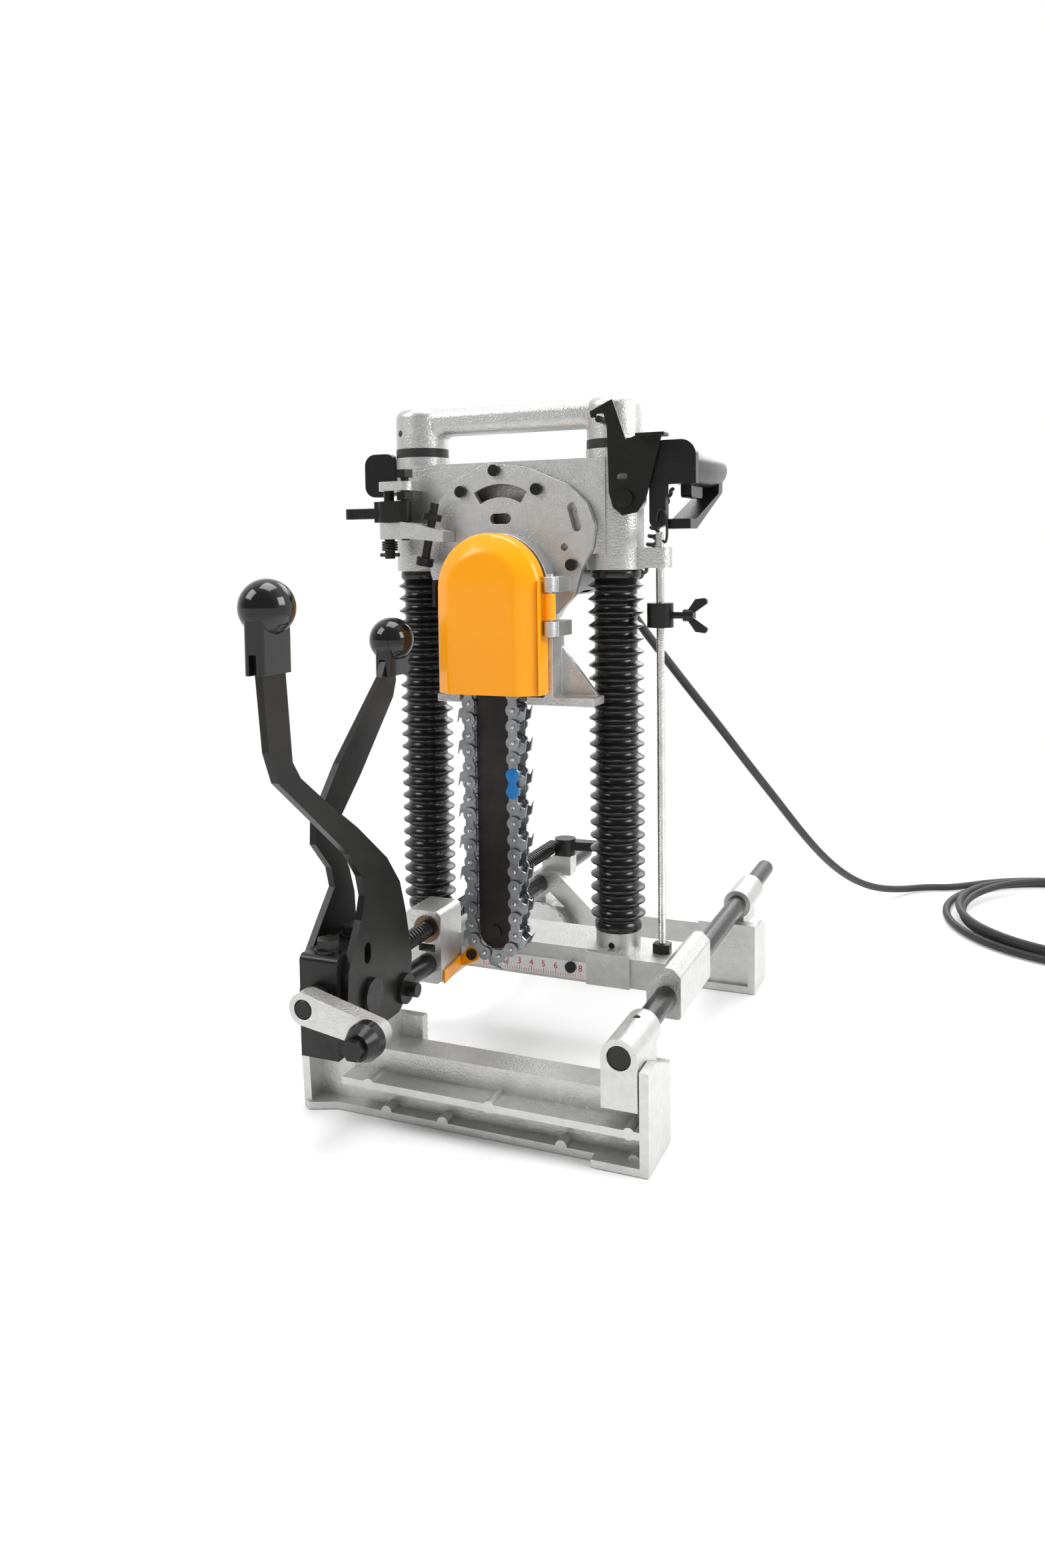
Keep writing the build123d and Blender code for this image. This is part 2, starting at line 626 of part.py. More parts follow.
latch_pin_x = column_x
latch_pin_z = 480.0
latch_y = 99.0
latch_thickness = 2.5
with BuildPart() as latch_pin:
    bar_along_y(latch_pin_x, latch_pin_z, latch_y - 2, column_y - column_r - 1, 2.5)
save(latch_pin, "latch_pin")

with BuildPart() as depth_rod:
    bar_along_z(depth_rod_x, column_y, beam_bottom_z + 4, depth_rod_top_z, depth_rod_r)
    # lock nut on the deck
    hexagon_z(depth_rod_x, column_y, deck_z, deck_z + 7, 13)
save(depth_rod, "depth_rod")

with BuildPart() as scale_plate:
    block(left_foot_x[1] + 1, column_x - column_boss_r - 0.5, beam_front_y - 1, beam_front_y, 64.5, 77)
    for hole_x in (-31, 51):
        bar_along_y(hole_x, 73, beam_front_y - 2, beam_front_y + 1, 2, Mode.SUBTRACT)
save(scale_plate, "scale_plate")

with BuildPart() as pointer:
    # flat steel pointer: round eye on the scale screw, tongue bent forward along the foot
    with BuildSketch(front_plane(beam_front_y - 2.5)):
        with Locations((-31, 73)):
            Circle(6)
        with Locations((-39, 66)):
            Circle(3)
        make_hull()
        with Locations((-31, 73)):
            Circle(2, mode=Mode.SUBTRACT)
    extrude(amount=-1.5)
    with BuildSketch(side_plane(left_foot_x[1] + 0.1)):
        with BuildLine():
            Polyline((beam_front_y - 1, 71), (beam_front_y - 1, 62), (foot_front_y + 3, 58),
                     (foot_front_y + 3, 68), close=True)
        make_face()
    extrude(amount=1.5)
save(pointer, "pointer")

with BuildPart() as carriage_screws:
    for hole_x, face_y in ((-31, beam_front_y - 2.5), (51, beam_front_y - 1)):
        bar_along_y(hole_x, 73, face_y, beam_front_y + 5, 2)
        bar_along_y(hole_x, 73, face_y - 2.6, face_y, 4.2)
    for side in (-1, 1):
        bar_along_y(side * column_x, 90, boss_y0 + 12, column_y - column_r, 2.5)
save(carriage_screws, "carriage_screws")

# ================================================================ HEAD
lug_y = 94.0
stop_pin_x = -90.0
stop_bolt_x = -76.0
stop_lever_z = (410.0, 426.0)
bush_r = 14.0
latch_pivot = (99.0, 423.0)
motor_rear_y = head_rear_y + motor_length
plate_y = 103.0
with BuildPart() as head_casting:
    for side in (-1, 1):
        bar_along_z(side * column_x, column_y, head_bottom_z, head_boss_top_z, head_boss_r)
    block(-column_x, column_x, head_front_y + 1, head_rear_y, 384, head_top_z)
    # gearcase bulge below the body
    bar_along_y(0, spindle_z, head_front_y, head_rear_y - 14, 40)
    bar_along_y(0, motor_z, head_front_y, head_rear_y, motor_r + 3)
    # lugs for the stop lever
    lower_lug_z = (stop_lever_z[0] - 13, stop_lever_z[0] - 0.4)
    upper_lug_z = (stop_lever_z[1] + 8, stop_lever_z[1] + 15)
    for lug_z0, lug_z1 in (lower_lug_z, upper_lug_z):
        with BuildSketch(Plane.XY.offset(lug_z0)):
            with Locations((stop_pin_x, lug_y), (stop_bolt_x, lug_y)):
                Circle(7.5)
            with Locations((stop_bolt_x, column_y - 10), (stop_pin_x + 4, column_y - 10)):
                Circle(7.5)
            make_hull()
        extrude(amount=lug_z1 - lug_z0)
    # ledge that carries the chain tension bolt
    with BuildSketch(front_plane(82)):
        with BuildLine():
            Polyline((-74, 398), (-74, 410), (-60, 408), (-38, 402), (-38, 394), close=True)
        make_face()
    extrude(amount=82 - plate_y + 0.5)
    block(-74, -62, 82, head_front_y + 6, 398, 408)
    # lug around the depth rod, and the latch pivot boss
    with BuildSketch(Plane.XY.offset(373)):
        with Locations((depth_rod_x, column_y), (column_x + 12, column_y)):
            Circle(9)
        make_hull()
    extrude(amount=15)
    bar_along_y(latch_pivot[0], latch_pivot[1], latch_y + latch_thickness + 0.3, column_y - 6, 8)
    # cavities: gears, fan and motor
    bar_along_y(0, spindle_z, head_front_y - 1, head_front_y + 15, 30, Mode.SUBTRACT)
    bar_along_y(0, motor_z, head_front_y - 1, head_front_y + 15, 16, Mode.SUBTRACT)
    bar_along_y(0, motor_z + 11, head_front_y - 1, head_front_y + 15, 40, Mode.SUBTRACT)
    bar_along_y(0, motor_z, head_front_y + 22, head_rear_y + 1, motor_r - 2, Mode.SUBTRACT)
    bar_along_y(0, spindle_z, head_front_y, head_front_y + 28, 11, Mode.SUBTRACT)
    bar_along_y(0, motor_z, head_front_y, head_front_y + 28, 9, Mode.SUBTRACT)
    for side in (-1, 1):
        bar_along_z(side * column_x, column_y, head_bottom_z - 1, head_boss_top_z + 1, column_r + 1, Mode.SUBTRACT)
        bar_along_z(side * column_x, column_y, head_bottom_z - 1, head_bottom_z + 20, bush_r, Mode.SUBTRACT)
        bar_along_z(side * column_x, column_y, head_boss_top_z - 20, head_boss_top_z + 1, bush_r, Mode.SUBTRACT)
    bar_along_z(depth_rod_x, column_y, 372, 389, depth_rod_r + 0.5, Mode.SUBTRACT)
    bar_along_z(stop_pin_x, lug_y, 396, 442, 4, Mode.SUBTRACT)
    bar_along_z(stop_bolt_x, lug_y, 396, 442, 3.2, Mode.SUBTRACT)
    bar_along_y(latch_pivot[0], latch_pivot[1], latch_y, column_y - 8, 3, Mode.SUBTRACT)
    with Locations(Location((-53, 90, 401), (0, 12, 0))):
        Cylinder(3.2, 60, mode=Mode.SUBTRACT)
save(head_casting, "head_casting")

gear_cover_points = [(-50, 340), (-60, 372), (-56, 420), (-37, 441), (-12, 453), (21, 449), (54, 435),
                     (69, 421), (75, 405), (72, 388), (64, 372), (59, 354), (44, 338)]
arc_centre_z = 396.0
with BuildPart() as gear_cover:
    with BuildSketch(front_plane(plate_y)):
        with BuildLine():
            Polyline(*gear_cover_points, close=True)
        make_face()
        fillet(vertices(), 8)
        # cooling slots: a long curved one over a short one
        with BuildLine():
            slot_r = 36
            CenterArc((0, arc_centre_z), slot_r - 5, 58, 64)
            CenterArc((0, arc_centre_z), slot_r + 5, 58, 64)
            for angle in (58, 122):
                Line(((slot_r - 5) * cos(radians(angle)), arc_centre_z + (slot_r - 5) * sin(radians(angle))),
                     ((slot_r + 5) * cos(radians(angle)), arc_centre_z + (slot_r + 5) * sin(radians(angle))))
        make_face(mode=Mode.SUBTRACT)
        with Locations((0, 411)):
            SlotOverall(17, 8, mode=Mode.SUBTRACT)
        with Locations((51, 389)):
            Circle(2.8, mode=Mode.SUBTRACT)
        with Locations((59, 411)):
            SlotOverall(22, 7, rotation=105, mode=Mode.SUBTRACT)
    extrude(amount=plate_y - head_front_y)
    # bearing bores for spindle and motor pinion
    bar_along_y(0, spindle_z, plate_y - 1, head_front_y + 1, 11, Mode.SUBTRACT)
    for screw_pos in ((-32, 432), (30, 432), (-4, 447), (57, 376)):
        bar_along_y(screw_pos[0], screw_pos[1], plate_y - 1, head_front_y + 1, 2.5, Mode.SUBTRACT)
save(gear_cover, "gear_cover")

with BuildPart() as head_screws:
    for screw_pos in ((-32, 432), (30, 432), (-4, 447), (57, 376)):
        bar_along_y(screw_pos[0], screw_pos[1], plate_y - 3.5, plate_y, 4.4)
        bar_along_y(screw_pos[0], screw_pos[1], plate_y, head_front_y, 2.5)
    # pan-head pivot screw of the latch plate
    bar_along_y(latch_pivot[0], latch_pivot[1], latch_y - 3.4, latch_y - 0.3, 6.5)
    bar_along_y(latch_pivot[0], latch_pivot[1], latch_y - 0.3, column_y - 10, 3)
save(head_screws, "head_screws")

bearing_y = head_front_y + 16
with BuildPart() as bearings:
    # plain bushes at both ends of each column bore
    for side in (-1, 1):
        for bush_z in (head_bottom_z, head_boss_top_z - 20):
            bar_along_z(side * column_x, column_y, bush_z, bush_z + 20, bush_r)
            bar_along_z(side * column_x, column_y, bush_z - 1, bush_z + 21, column_r + slide_fit, Mode.SUBTRACT)
    # ball bearings of the spindle and of the motor shaft
    bar_along_y(0, spindle_z, bearing_y, bearing_y + 9, 11)
    bar_along_y(0, spindle_z, plate_y, head_front_y - 0.2, 11)
    bar_along_y(0, motor_z, bearing_y, bearing_y + 9, 9)
    bar_along_y(0, motor_z, motor_rear_y + 2, motor_rear_y + 9, 9)
    bar_along_y(0, spindle_z, plate_y - 1, bearing_y + 12, 6 + slide_fit, Mode.SUBTRACT)
    bar_along_y(0, motor_z, bearing_y - 1, motor_rear_y + 12, 4 + slide_fit, Mode.SUBTRACT)
save(bearings, "bearings")


# ---------------------------------------------------------------- gears
def gear_outline(teeth, module, centre_z, phase):
    """Involute spur-gear outline around (0, centre_z), with running backlash."""
    pitch_r = module * teeth / 2
    base_r = pitch_r * cos(radians(20))
    tip_r = pitch_r + 0.85 * module
    root_r = pitch_r - 1.25 * module
    half_tooth = pi / (2 * teeth) - 0.09 / pitch_r
    roll = tan(radians(20)) - radians(20)
    flank = []
    for step in range(6):
        r = max(base_r, root_r) + (tip_r - max(base_r, root_r)) * step / 5
        pressure = acos(min(1.0, base_r / r))
        flank.append((r, half_tooth + roll - (tan(pressure) - pressure)))
    points = []
    for tooth in range(teeth):
        middle = phase + 2 * pi * tooth / teeth
        left = [(root_r, middle - flank[0][1])] + [(r, middle - a) for r, a in flank]
        right = [(r, middle + a) for r, a in reversed(flank)] + [(root_r, middle + flank[0][1])]
        for r, a in left + right:
            points.append((r * cos(a), centre_z + r * sin(a)))
    return points


gear_module = 2 * motor_offset / (gear_teeth + pinion_teeth)
gear_y = head_front_y + 3
with BuildPart() as spindle:
    bar_along_y(0, spindle_z, bar_y - 7, bearing_y + 12, 6)
    with BuildSketch(front_plane(gear_y)):
        with BuildLine():
            Polyline(*gear_outline(gear_teeth, gear_module, spindle_z, pi / 2), close=True)
        make_face()
    extrude(amount=-gear_width)
    # chain sprocket inside the loop of the chain
    with BuildSketch(front_plane(bar_y - 4)):
        with Locations((0, spindle_z)):
            Circle(9.5)
        with Locations((0, spindle_z)):
            with PolarLocations(9.2, 9):
                RegularPolygon(1.8, 3)
    extrude(amount=-8)
save(spindle, "spindle")

with BuildPart() as armature:
    bar_along_y(0, motor_z, gear_y - 2, motor_rear_y + 9, 4)
    with BuildSketch(front_plane(gear_y)):
        with BuildLine():
            Polyline(*gear_outline(pinion_teeth, gear_module, motor_z, -pi / 2 + pi / pinion_teeth), close=True)
        make_face()
    extrude(amount=-gear_width)
    # fan, laminated core and commutator
    bar_along_y(0, motor_z, head_rear_y - 18, head_rear_y - 15, 34)
    for blade in range(12):
        with Locations(Location((0, head_rear_y - 10, motor_z), (0, blade * 30, 0))):
            with Locations((24, 0, 0)):
                Box(20, 11, 1.6)
    bar_along_y(0, motor_z, head_rear_y + 12, head_rear_y + 70, 24)
    bar_along_y(0, motor_z, head_rear_y + 80, head_rear_y + 96, 13)
save(armature, "armature")

with BuildPart() as motor_housing:
    bar_along_y(0, motor_z, head_rear_y, motor_rear_y, motor_r)
    bar_along_y(0, motor_z, head_rear_y - 1, motor_rear_y + 1, motor_r - motor_wall, Mode.SUBTRACT)
    for slot in range(8):
        with Locations(Location((0, motor_rear_y - 22, motor_z), (0, slot * 45 + 22, 0))):
            with Locations((motor_r, 0, 0)):
                Box(12, 24, 6, mode=Mode.SUBTRACT)
save(motor_housing, "motor_housing")

with BuildPart() as field_coil:
    bar_along_y(0, motor_z, head_rear_y + 14, head_rear_y + 68, motor_r - motor_wall)
    bar_along_y(0, motor_z, head_rear_y + 13, head_rear_y + 69, 25, Mode.SUBTRACT)
save(field_coil, "field_coil")

cap_depth = 24.0
with BuildPart() as motor_end_cap:
    bar_along_y(0, motor_z, motor_rear_y, motor_rear_y + cap_depth, motor_r)
    fillet(motor_end_cap.faces().sort_by(Axis.Y)[-1].edges(), 8)
    bar_along_y(0, motor_z, motor_rear_y - 1, motor_rear_y + 2, motor_r - motor_wall, Mode.SUBTRACT)
    bar_along_y(0, motor_z, motor_rear_y - 1, motor_rear_y + 9, 9, Mode.SUBTRACT)
    bar_along_y(0, motor_z, motor_rear_y + 9, motor_rear_y + 12, 6, Mode.SUBTRACT)
save(motor_end_cap, "motor_end_cap")


# ---------------------------------------------------------------- guide bar, chain and their mount
def cover_outline(inset=0.0):
    """Arch shape of the chain cover in the open sketch: straight sides and a half-round top."""
    centre_x = (cover_left_x + cover_right_x) / 2
    r = (cover_right_x - cover_left_x) / 2 - inset
    spring_z = cover_top_z - (cover_right_x - cover_left_x) / 2
    foot_z = cover_bottom_z + (inset if inset > 5 else 0)
    with BuildLine() as arch:
        Line((centre_x - r, spring_z), (centre_x - r, foot_z))
        Line((centre_x - r, foot_z), (centre_x + r, foot_z))
        Line((centre_x + r, foot_z), (centre_x + r, spring_z))
        CenterArc((centre_x, spring_z), r, 0, 180)
    make_face(arch.edges())


ring_front_y = cover_rear_y + 0.6
foot_plate_z = (274.0, 280.0)
with BuildPart() as bar_mount:
    with BuildSketch(front_plane(ring_front_y)):
        cover_outline()
        offset(amount=-4, mode=Mode.SUBTRACT)
    extrude(amount=ring_front_y - plate_y)
    with BuildSketch(front_plane(plate_y - 4)):
        cover_outline()
    extrude(amount=-4)
    # open the bottom for the bar and chain, and add the foot plate with its gusset
    block(-30, 30, ring_front_y - 1, plate_y - 4, cover_bottom_z - 2, cover_bottom_z + 5, Mode.SUBTRACT)
    block(cover_left_x, cover_right_x, plate_y - 4, plate_y, foot_plate_z[0], cover_bottom_z + 1)
    block(cover_left_x - 9, 79, ring_front_y, plate_y + 6, foot_plate_z[0], foot_plate_z[1])
    block(-27, 27, ring_front_y - 1, plate_y - 4, foot_plate_z[0] - 1, foot_plate_z[1] + 1, Mode.SUBTRACT)
    block(cover_right_x - 4, cover_right_x + 3, ring_front_y, plate_y + 6, foot_plate_z[1] - 1, 330)
    block(cover_left_x, cover_left_x + 4, ring_front_y, plate_y, foot_plate_z[1] - 1, cover_bottom_z + 1)
    with BuildSketch(front_plane(plate_y)):
        with BuildLine():
            Polyline((cover_right_x, foot_plate_z[1]), (76, foot_plate_z[1]), (cover_right_x, 320), close=True)
        make_face()
    extrude(amount=-5)
    # hinge lugs
    for lug_z0 in (325, 357):
        bar_along_z(hinge_x, hinge_y, lug_z0, lug_z0 + 11, 4.7)
        block(hinge_x - 4.4, hinge_x + 6, hinge_y + 1, plate_y, lug_z0, lug_z0 + 11)
        block(cover_right_x - 2, hinge_x + 6, ring_front_y, plate_y, lug_z0, lug_z0 + 11)
        bar_along_z(hinge_x, hinge_y, lug_z0 - 1, lug_z0 + 12, 1.6, Mode.SUBTRACT)
    bar_along_y(0, spindle_z, plate_y - 5, plate_y + 1, 8, Mode.SUBTRACT)
save(bar_mount, "bar_mount")

bar_top_z = 330.0
with BuildPart() as guide_bar:
    with BuildSketch(front_plane(bar_y - bar_thickness / 2)):
        with Locations((0, nose_z)):
            Circle(bar_half_width)
        with Locations((0, (nose_z + bar_top_z) / 2)):
            Rectangle(2 * bar_half_width, bar_top_z - nose_z)
    extrude(amount=-bar_thickness)
    # mounting block behind the bar's head, seated on the bar mount
    block(-9, 9, bar_y + bar_thickness / 2, plate_y - 4, 300, bar_top_z - 4)
    # nose roller screw
    bar_along_y(0, nose_z, bar_y - bar_thickness / 2 - 1.5, bar_y - bar_thickness / 2, 5)
save(guide_bar, "guide_bar")

chain_r = (chain_pitch * chain_pitches - 2 * (spindle_z - nose_z)) / (2 * pi)


def chain_station(distance):
    """Point (X, Z) at a distance along the chain's loop, from the top of its left run."""
    straight = spindle_z - nose_z
    half_turn = pi * chain_r
    distance = distance % (2 * straight + 2 * half_turn)
    if distance < straight:
        return -chain_r, spindle_z - distance
    if distance < straight + half_turn:
        angle = pi + (distance - straight) / chain_r
        return chain_r * cos(angle), nose_z + chain_r * sin(angle)
    if distance < 2 * straight + half_turn:
        return chain_r, nose_z + distance - straight - half_turn
    angle = (distance - 2 * straight - half_turn) / chain_r
    return chain_r * cos(angle), spindle_z + chain_r * sin(angle)


def link_place(link, y):
    """Where a link plate sits on the loop: halfway between its two rivets, turned along them."""
    x0, z0 = chain_station(link * chain_pitch)
    x1, z1 = chain_station((link + 1) * chain_pitch)
    return Location(((x0 + x1) / 2, y, (z0 + z1) / 2), (0, -degrees(atan2(z1 - z0, x1 - x0)), 0))


side_plate_y = 9.0
cutter_plate_y = 6.6
link_eye_r = 5.2
rivet_r = 2.1
rivet_head = 0.6
with BuildPart() as side_plate:
    # figure of eight: an eye round each rivet and a waist between them
    with BuildSketch(front_plane(0)):
        with Locations((-chain_pitch / 2, 0), (chain_pitch / 2, 0)):
            Circle(link_eye_r)
        Rectangle(chain_pitch, link_eye_r * 1.25)
    extrude(amount=-link_thickness)
with BuildPart() as cutter_plate:
    with BuildSketch(front_plane(0)):
        with BuildLine():
            Polyline((-10.5, 2.5), (-8, 4), (8, 4), (10.5, 2.5), (9.5, -2.5), (6.5, -4), (5, -8.4), (9, -10.2),
                     (-1, -8.6), (-3.5, -4), (-8, -4), (-10.5, -2), close=True)
        make_face()
    extrude(amount=-link_thickness)
with BuildPart() as chain:
    for first_link, plate, reach in ((0, side_plate, side_plate_y), (1, cutter_plate, cutter_plate_y)):
        for y in (bar_y - reach, bar_y + reach - link_thickness):
            with Locations(*[link_place(link, y) for link in range(first_link, chain_pitches, 2)]):
                add(plate.part)
    rivet_places = [chain_station(link * chain_pitch) for link in range(chain_pitches)]
    with Locations(*[Location((x, bar_y, z), (90, 0, 0)) for x, z in rivet_places]):
        Cylinder(rivet_r, 2 * side_plate_y + 2 * rivet_head)
save(chain, "chain")

# ---------------------------------------------------------------- chain cover and its hinge
with BuildPart() as chain_cover:
    with BuildSketch(front_plane(cover_front_y)):
        cover_outline()
    extrude(amount=cover_front_y - cover_rear_y)
    fillet(chain_cover.faces().sort_by(Axis.Y)[0].edges().sort_by(Axis.Z)[1:], 5)
    with BuildSketch(front_plane(cover_front_y + cover_wall)):
        cover_outline(cover_wall)
    extrude(amount=cover_front_y + cover_wall - cover_rear_y - 1, mode=Mode.SUBTRACT)
    with BuildSketch(front_plane(cover_front_y - 4)):
        cover_outline(14)
    extrude(amount=-5)
    # barrel between the two lugs
    bar_along_z(hinge_x, hinge_y, 337, 356, 4)
    block(cover_right_x - 1, hinge_x, hinge_y - 2, hinge_y + 2, 337, 356)
    bar_along_z(hinge_x, hinge_y, 330, 360, 1.6 + slide_fit, Mode.SUBTRACT)
    block(cover_left_x + 3, cover_right_x - 3, cover_front_y + 4, cover_rear_y + 1, cover_bottom_z - 1,
          cover_bottom_z + 3, Mode.SUBTRACT)
save(chain_cover, "chain_cover")

with BuildPart() as hinge_pin:
    bar_along_z(hinge_x, hinge_y, 325, 369.5, 1.6)
    bar_along_z(hinge_x, hinge_y, 368, 370, 2.6)
save(hinge_pin, "hinge_pin")

with BuildPart() as cover_clip:
    block(cover_left_x - 2.2, cover_left_x, ring_front_y + 2, plate_y - 3, 348, 364)
    block(cover_left_x - 5, cover_left_x - 2.2, 71, plate_y - 3, 346, 366)
save(cover_clip, "cover_clip")

with BuildPart() as tension_bolt:
    with Locations(Location((-53, 90, 401), (0, 12, 0))):
        Cylinder(3.2, 46)
        with Locations((0, 0, 12.5)):
            Cylinder(7, 5)
        with Locations((0, 0, -22)):
            Cylinder(6.6, 6)
save(tension_bolt, "tension_bolt")

with BuildPart() as stop_bolt:
    # adjusting bolt with its lock nut
    bar_along_z(stop_bolt_x, lug_y, 396, 444, 3.2)
    hexagon_z(stop_bolt_x, lug_y, 444, 450, 12)
    hexagon_z(stop_bolt_x, lug_y, stop_lever_z[1] + 1, stop_lever_z[1] + 7, 12)
    # pivot pin with its cross pin below
    bar_along_z(stop_pin_x, lug_y, 382, stop_lever_z[1] + 15, 4)
    bar_along_x(lug_y, 385, stop_pin_x - 8, stop_pin_x + 8, 1.5)
    # torsion spring under the lower lug
    for coil in range(4):
        with Locations((stop_pin_x, lug_y, 389 + 1.9 * coil)):
            Torus(5.4, 0.9)
save(stop_bolt, "stop_bolt")

with BuildPart() as stop_lever:
    with BuildSketch(Plane.XY.offset(stop_lever_z[0])):
        with Locations((stop_pin_x, lug_y)):
            Circle(8.5)
        with Locations((stop_bolt_x + 2, lug_y - 5)):
            Circle(6)
        make_hull()
        with Locations((stop_pin_x - 20, lug_y)):
            Rectangle(30, 8)
        with Locations((stop_pin_x - 33, lug_y)):
            Circle(5)
        with Locations((stop_pin_x, lug_y)):
            Circle(4 + slide_fit, mode=Mode.SUBTRACT)
        # open slot that swings clear of the bolt
        with Locations((stop_bolt_x, lug_y + 6)):
            Rectangle(2 * 3.2 + 2.6, 21, mode=Mode.SUBTRACT)
    extrude(amount=stop_lever_z[1] - stop_lever_z[0])
    # the finger tab is thinner than the hub
    for tab_z0, tab_z1 in ((stop_lever_z[0] + 11, stop_lever_z[1] + 1), (stop_lever_z[0] - 1, stop_lever_z[0] + 3)):
        block(stop_pin_x - 40, stop_pin_x - 11, lug_y - 8, lug_y + 8, tab_z0, tab_z1, Mode.SUBTRACT)
save(stop_lever, "stop_lever")

with BuildPart() as latch_plate:
    with BuildSketch(front_plane(latch_y)):
        with BuildLine():
            Polyline((90, 494), (73, 486), (74, 481.6), (77, 481.6), (78, 484.2), (83.5, 484.2), (86, 474),
                     (87, 428), (90, 417), (97, 411), (108, 413), (114, 421), (126, 466), (110, 468), (100, 465),
                     close=True)
        make_face()
        with Locations(latch_pivot):
            Circle(3 + slide_fit, mode=Mode.SUBTRACT)
        with Locations((97, 439)):
            SlotOverall(8, 4, mode=Mode.SUBTRACT)
    extrude(amount=-latch_thickness)
    # thumb flange bent forward
    block(110, 131, latch_y - 10, latch_y + latch_thickness, 465.5, 468)
save(latch_plate, "latch_plate")

# ---------------------------------------------------------------- grips
grip_x = 136.0
grip_z = 447.0
grip_front_y = 103.0
grip_rear_y = 212.0
guard_half_width = 9.0


def grip_barrel(x, front_y, grip_r):
    """Barrel-shaped handle along Y, fuller in the middle, with a rounded end."""
    with BuildPart() as barrel:
        with BuildSketch(side_plane(x)):
            with BuildLine():
                start = (front_y, grip_z + grip_r - 1.5)
                end = (grip_rear_y - 7, grip_z + grip_r - 2.5)
                Spline(start, (front_y + 40, grip_z + grip_r + 0.5), end)
                ThreePointArc(end, (grip_rear_y - 2, grip_z + grip_r - 5), (grip_rear_y, grip_z + grip_r - 10))
                Polyline((grip_rear_y, grip_z + grip_r - 10), (grip_rear_y, grip_z), (front_y, grip_z), start)
            make_face()
        revolve(axis=Axis((x, 0, grip_z), (0, 1, 0)))
    return barrel


right_barrel = grip_barrel(grip_x, grip_front_y + 4, 15.0)
with BuildPart() as right_grip:
    # head of the handle with a narrow tab below it
    with BuildSketch(front_plane(grip_front_y)):
        with Locations((grip_x - 3, 448)):
            RectangleRounded(34, 31, 11)
        with Locations((grip_x - 14, 424)):
            RectangleRounded(12, 44, 5)
        with Locations((grip_x - 3, 437)):
            Rectangle(34, 9)
    extrude(amount=-8)
    add(right_barrel.part)
    with BuildSketch(side_plane(grip_x - guard_half_width)):
        with BuildLine():
            Polyline((grip_front_y + 4, 401), (grip_front_y + 22, 401), (grip_rear_y - 8, 430),
                     (grip_rear_y - 6, 447), (grip_rear_y - 18, 447), (grip_rear_y - 20, 429),
                     (grip_front_y + 20, 408), (grip_front_y + 4, 408), close=True)
        make_face()
    extrude(amount=2 * guard_half_width)
    # arm that bolts to the head, bored so that it passes over the depth rod
    block(column_x + 12, grip_x - 8, column_y - 12, column_y + 12, 436, 450)
    bar_along_z(depth_rod_x, column_y, 395, 465, depth_rod_r + 1.2, Mode.SUBTRACT)
    bar_along_z(column_x, column_y, 430, 455, head_boss_r, Mode.SUBTRACT)
    # trigger slot
    block(grip_x - 4.5, grip_x + 4.5, 128, 162, 428, 444, Mode.SUBTRACT)
save(right_grip, "right_grip")

with BuildPart() as trigger:
    block(grip_x - 4, grip_x + 4, 129, 161, 424, 439)
    fillet(trigger.edges().filter_by(Axis.X).group_by(Axis.Z)[0], 3)
save(trigger, "trigger")

left_grip_x = -111.0
left_barrel = grip_barrel(left_grip_x, 122, 13.5)
with BuildPart() as left_grip:
    with BuildSketch(front_plane(118)):
        with Locations((left_grip_x, 448)):
            RectangleRounded(28, 34, 9)
    extrude(amount=-8)
    add(left_barrel.part)
    block(left_grip_x + 2, -column_x - 12, column_y - 6, column_y + 16, 436, 450)
    bar_along_z(-column_x, column_y, 425, 470, head_boss_r, Mode.SUBTRACT)
save(left_grip, "left_grip")

# ================================================================ DEPTH COLLAR
collar_r = 9.8
with BuildPart() as depth_collar:
    bar_along_z(depth_rod_x, column_y, collar_z - collar_height / 2, collar_z + collar_height / 2, collar_r)
    bar_along_z(depth_rod_x, column_y, collar_z - 20, collar_z + 20, depth_rod_r + slide_fit, Mode.SUBTRACT)
    bar_along_x(column_y, collar_z, depth_rod_x + depth_rod_r, depth_rod_x + 12, 2.5 + slide_fit, Mode.SUBTRACT)
save(depth_collar, "depth_collar")

wing_x = depth_rod_x + collar_r + 10
with BuildPart() as wing_screw:
    bar_along_x(column_y, collar_z, depth_rod_x + depth_rod_r + 0.6, wing_x, 2.5)
    bar_along_x(column_y, collar_z, wing_x - 2, wing_x + 6, 4.5)
    for side in (-1, 1):
        with BuildSketch(front_plane(column_y - 1.5)):
            with BuildLine():
                Polyline((wing_x, collar_z + side * 2), (wing_x + 6, collar_z + side * 2), (wing_x + 16, collar_z + side * 9),
                         (wing_x + 15, collar_z + side * 13), (wing_x + 7, collar_z + side * 12), close=True)
            make_face()
            fillet(vertices().sort_by(Axis.X)[-2:], 1.8)
        extrude(amount=-3)
save(wing_screw, "wing_screw")

# ================================================================ CORDS
gland_start = (40.0, 238.0, 366.0)
cord_exit = (50.0, 238.0, 350.0)
with BuildPart() as cord_gland:
    gland_axis = Vector(*cord_exit) - Vector(*gland_start)
    with BuildSketch(Plane(origin=gland_start, z_dir=gland_axis)) as gland_root:
        Circle(7)
    with BuildSketch(Plane(origin=cord_exit, z_dir=gland_axis)) as gland_tip:
        Circle(5)
    loft()
save(cord_gland, "cord_gland")

